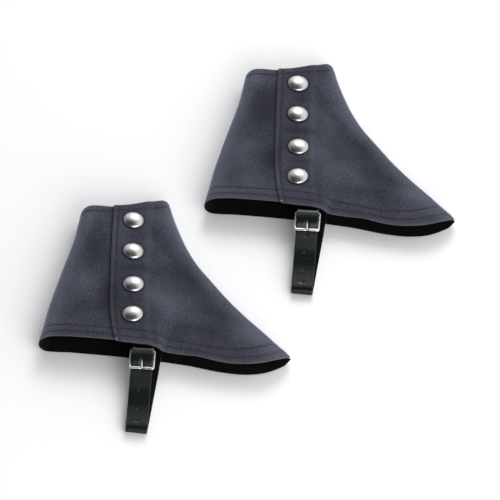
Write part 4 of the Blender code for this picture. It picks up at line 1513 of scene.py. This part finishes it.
def prong_wire():
    radius = BAR_RADIUS + GAP + PRONG_EYE_HALF
    forward = Vector((across_bar.y, -across_bar.x, 0))
    path = []
    for angle in np.linspace(math.radians(-30.0), math.radians(-295.0), 28):
        path.append((radius * math.cos(angle), radius * math.sin(angle), PRONG_EYE_HALF))
    tip_out = HEEL_BAR_Y - END_BAR_Y + PRONG_OVERHANG
    tip_rise = END_BAR_Z - HEEL_BAR_Z + BAR_RADIUS + GAP + PRONG_HALF_THICK
    eye_out, eye_rise, _ = path[-1]
    for share in np.linspace(0.1, PRONG_TIP_START, 12):
        out = eye_out + (tip_out - eye_out) * share
        rise = eye_rise + (tip_rise - eye_rise) * share / PRONG_TIP_START
        thick = PRONG_EYE_HALF + (PRONG_HALF_THICK - PRONG_EYE_HALF) * min(share * 4, 1.0)
        path.append((out, rise, thick))
    for share, taper in PRONG_TIP:
        path.append((eye_out + (tip_out - eye_out) * share, tip_rise, PRONG_HALF_THICK * taper))
    middles = [heel_bar + forward * out + Vector((0, 0, rise)) for out, rise, _ in path]
    normals = []
    for i in range(len(path)):
        tangent = middles[min(i + 1, len(path) - 1)] - middles[max(i - 1, 0)]
        normals.append(across_bar.cross(tangent).normalized())
    halves = [PRONG_HALF_WIDTH] * (len(path) - len(PRONG_TIP))
    halves += [PRONG_HALF_WIDTH * taper for _, taper in PRONG_TIP]
    heights = [thick for _, _, thick in path]
    widths = [across_bar] * len(path)
    return sweep("prong", middles, widths, normals, halves, heights, PRONG_FULLNESS)


set_down("buckle_wire", frame_wire(), [wire_nickel], "buckle_frame")
set_down("prong_wire", prong_wire(), [wire_nickel], "buckle_prong")

# %% [markdown]
# ## A stub for the cloth pieces
# Each cloth piece is passed to declare, which only reads the name of its first copy and does
# nothing with it.

# %% A stub call for each sheet


def declare(pieces):
    first = next(iter(pieces.values())).name


declare(front)
declare(back)
declare(under)
declare(lining)

# %% [markdown]
# ## Studio
# The covers lie on a plain white table. White walls all round light them softly, and a dark
# flag hangs overhead: it keeps the flat felt deep, lets its edges glow, and gives the snaps and
# the strap something dark to mirror. A key lamp behind and a wide, weak one in front add a
# little direction.

# %% Table, light and camera
FLAG_DIRECTION = Vector((-0.28, -0.28, 0.92)).normalized()
FLAG_EDGE = (math.cos(math.radians(62)), math.cos(math.radians(36)))
WALL_STRENGTH = 1.4
FLAG_STRENGTH = 0.08
TABLE_HALF = 3.0     # metres
TABLE_BELOW = 0.05   # millimetres under the cloth
DIM_WALL_DIRECTION = Vector((-1.0, 0.0, 0.0))
DIM_WALL_EDGE = (0.1, 0.7)
DIM_WALL_SHARE = 0.28


def facing(tree, direction, towards):
    """How squarely a direction of the world faces a given one, from -1 to 1."""
    dot = tree.nodes.new("ShaderNodeVectorMath")
    dot.operation = "DOT_PRODUCT"
    dot.inputs[1].default_value = towards
    tree.links.new(direction, dot.inputs[0])
    return dot.outputs["Value"]


def studio():
    world = bpy.data.worlds.new("studio")
    bpy.context.scene.world = world
    world.use_nodes = True
    tree = world.node_tree
    back = tree.nodes["Background"]
    back.inputs["Color"].default_value = (0.98, 0.99, 1.0, 1.0)
    direction = tree.nodes.new("ShaderNodeTexCoord").outputs["Generated"]
    above = facing(tree, direction, FLAG_DIRECTION)
    walls = stretch(tree, above, *FLAG_EDGE, WALL_STRENGTH, FLAG_STRENGTH)
    aside = facing(tree, direction, DIM_WALL_DIRECTION)
    dimmed = stretch(tree, aside, *DIM_WALL_EDGE, 1.0, DIM_WALL_SHARE)
    tree.links.new(reckon(tree, "MULTIPLY", walls, dimmed), back.inputs["Strength"])


def lamp(name, place, aim, size, power):
    light = bpy.data.lights.new(name, "AREA")
    light.energy = power
    light.shape = "DISK"
    light.size = size
    holder = bpy.data.objects.new(name, light)
    holder.location = place
    holder.rotation_euler = (Vector(aim) - Vector(place)).to_track_quat("-Z", "Y").to_euler()
    bpy.context.scene.collection.objects.link(holder)


def table_top():
    work = bmesh.new()
    bmesh.ops.create_grid(work, x_segments=1, y_segments=1, size=TABLE_HALF)
    mesh = bpy.data.meshes.new("table")
    work.to_mesh(mesh)
    work.free()
    mesh.transform(moved_by(Vector((0, 0, -TABLE_BELOW))))
    top = bpy.data.objects.new("table", mesh)
    bpy.context.scene.collection.objects.link(top)
    material, shader, tree = new_finish("white table", (0.96, 0.96, 0.965), 0.6)
    clouds = noise(tree, object_place(tree), 3.0)
    tone = between(tree, clouds, (0.955, 0.955, 0.96), (0.97, 0.97, 0.975))
    tree.links.new(tone, shader.inputs["Base Color"])
    mesh.materials.append(material)


studio()
lamp("key", (0.26, 1.36, 1.12), (0.0, 0.0, 0.0), 0.8, 11.0)
lamp("fill", (0.60, -1.65, 0.85), (0.0, 0.0, 0.0), 1.8, 27.0)
table_top()

# %% [markdown]
# The camera looks along +Y and down at the covers. Its lens is very long, so the near and far
# covers are drawn to one scale, as in the photo.

# %% Camera
ELEVATION = math.radians(50.4)
FRAME_WIDTH = 568.0
SENSOR, LENS = 36.0, 1600.0
AIM = Vector((2.6, 5.8, 0.0))


def camera():
    bpy.context.scene.view_settings.view_transform = "Standard"
    view = bpy.data.cameras.new("camera")
    view.sensor_width = SENSOR
    view.lens = LENS
    view.clip_end = 100.0
    distance = FRAME_WIDTH * LENS / SENSOR
    holder = bpy.data.objects.new("camera", view)
    away = Vector((0.0, -math.cos(ELEVATION), math.sin(ELEVATION)))
    holder.location = (AIM + away * distance) * MM
    holder.rotation_euler = (math.pi / 2 - ELEVATION, 0.0, 0.0)
    bpy.context.scene.collection.objects.link(holder)
    bpy.context.scene.camera = holder
    return distance


print("the camera stands", round(camera() * MM, 2), "m away")
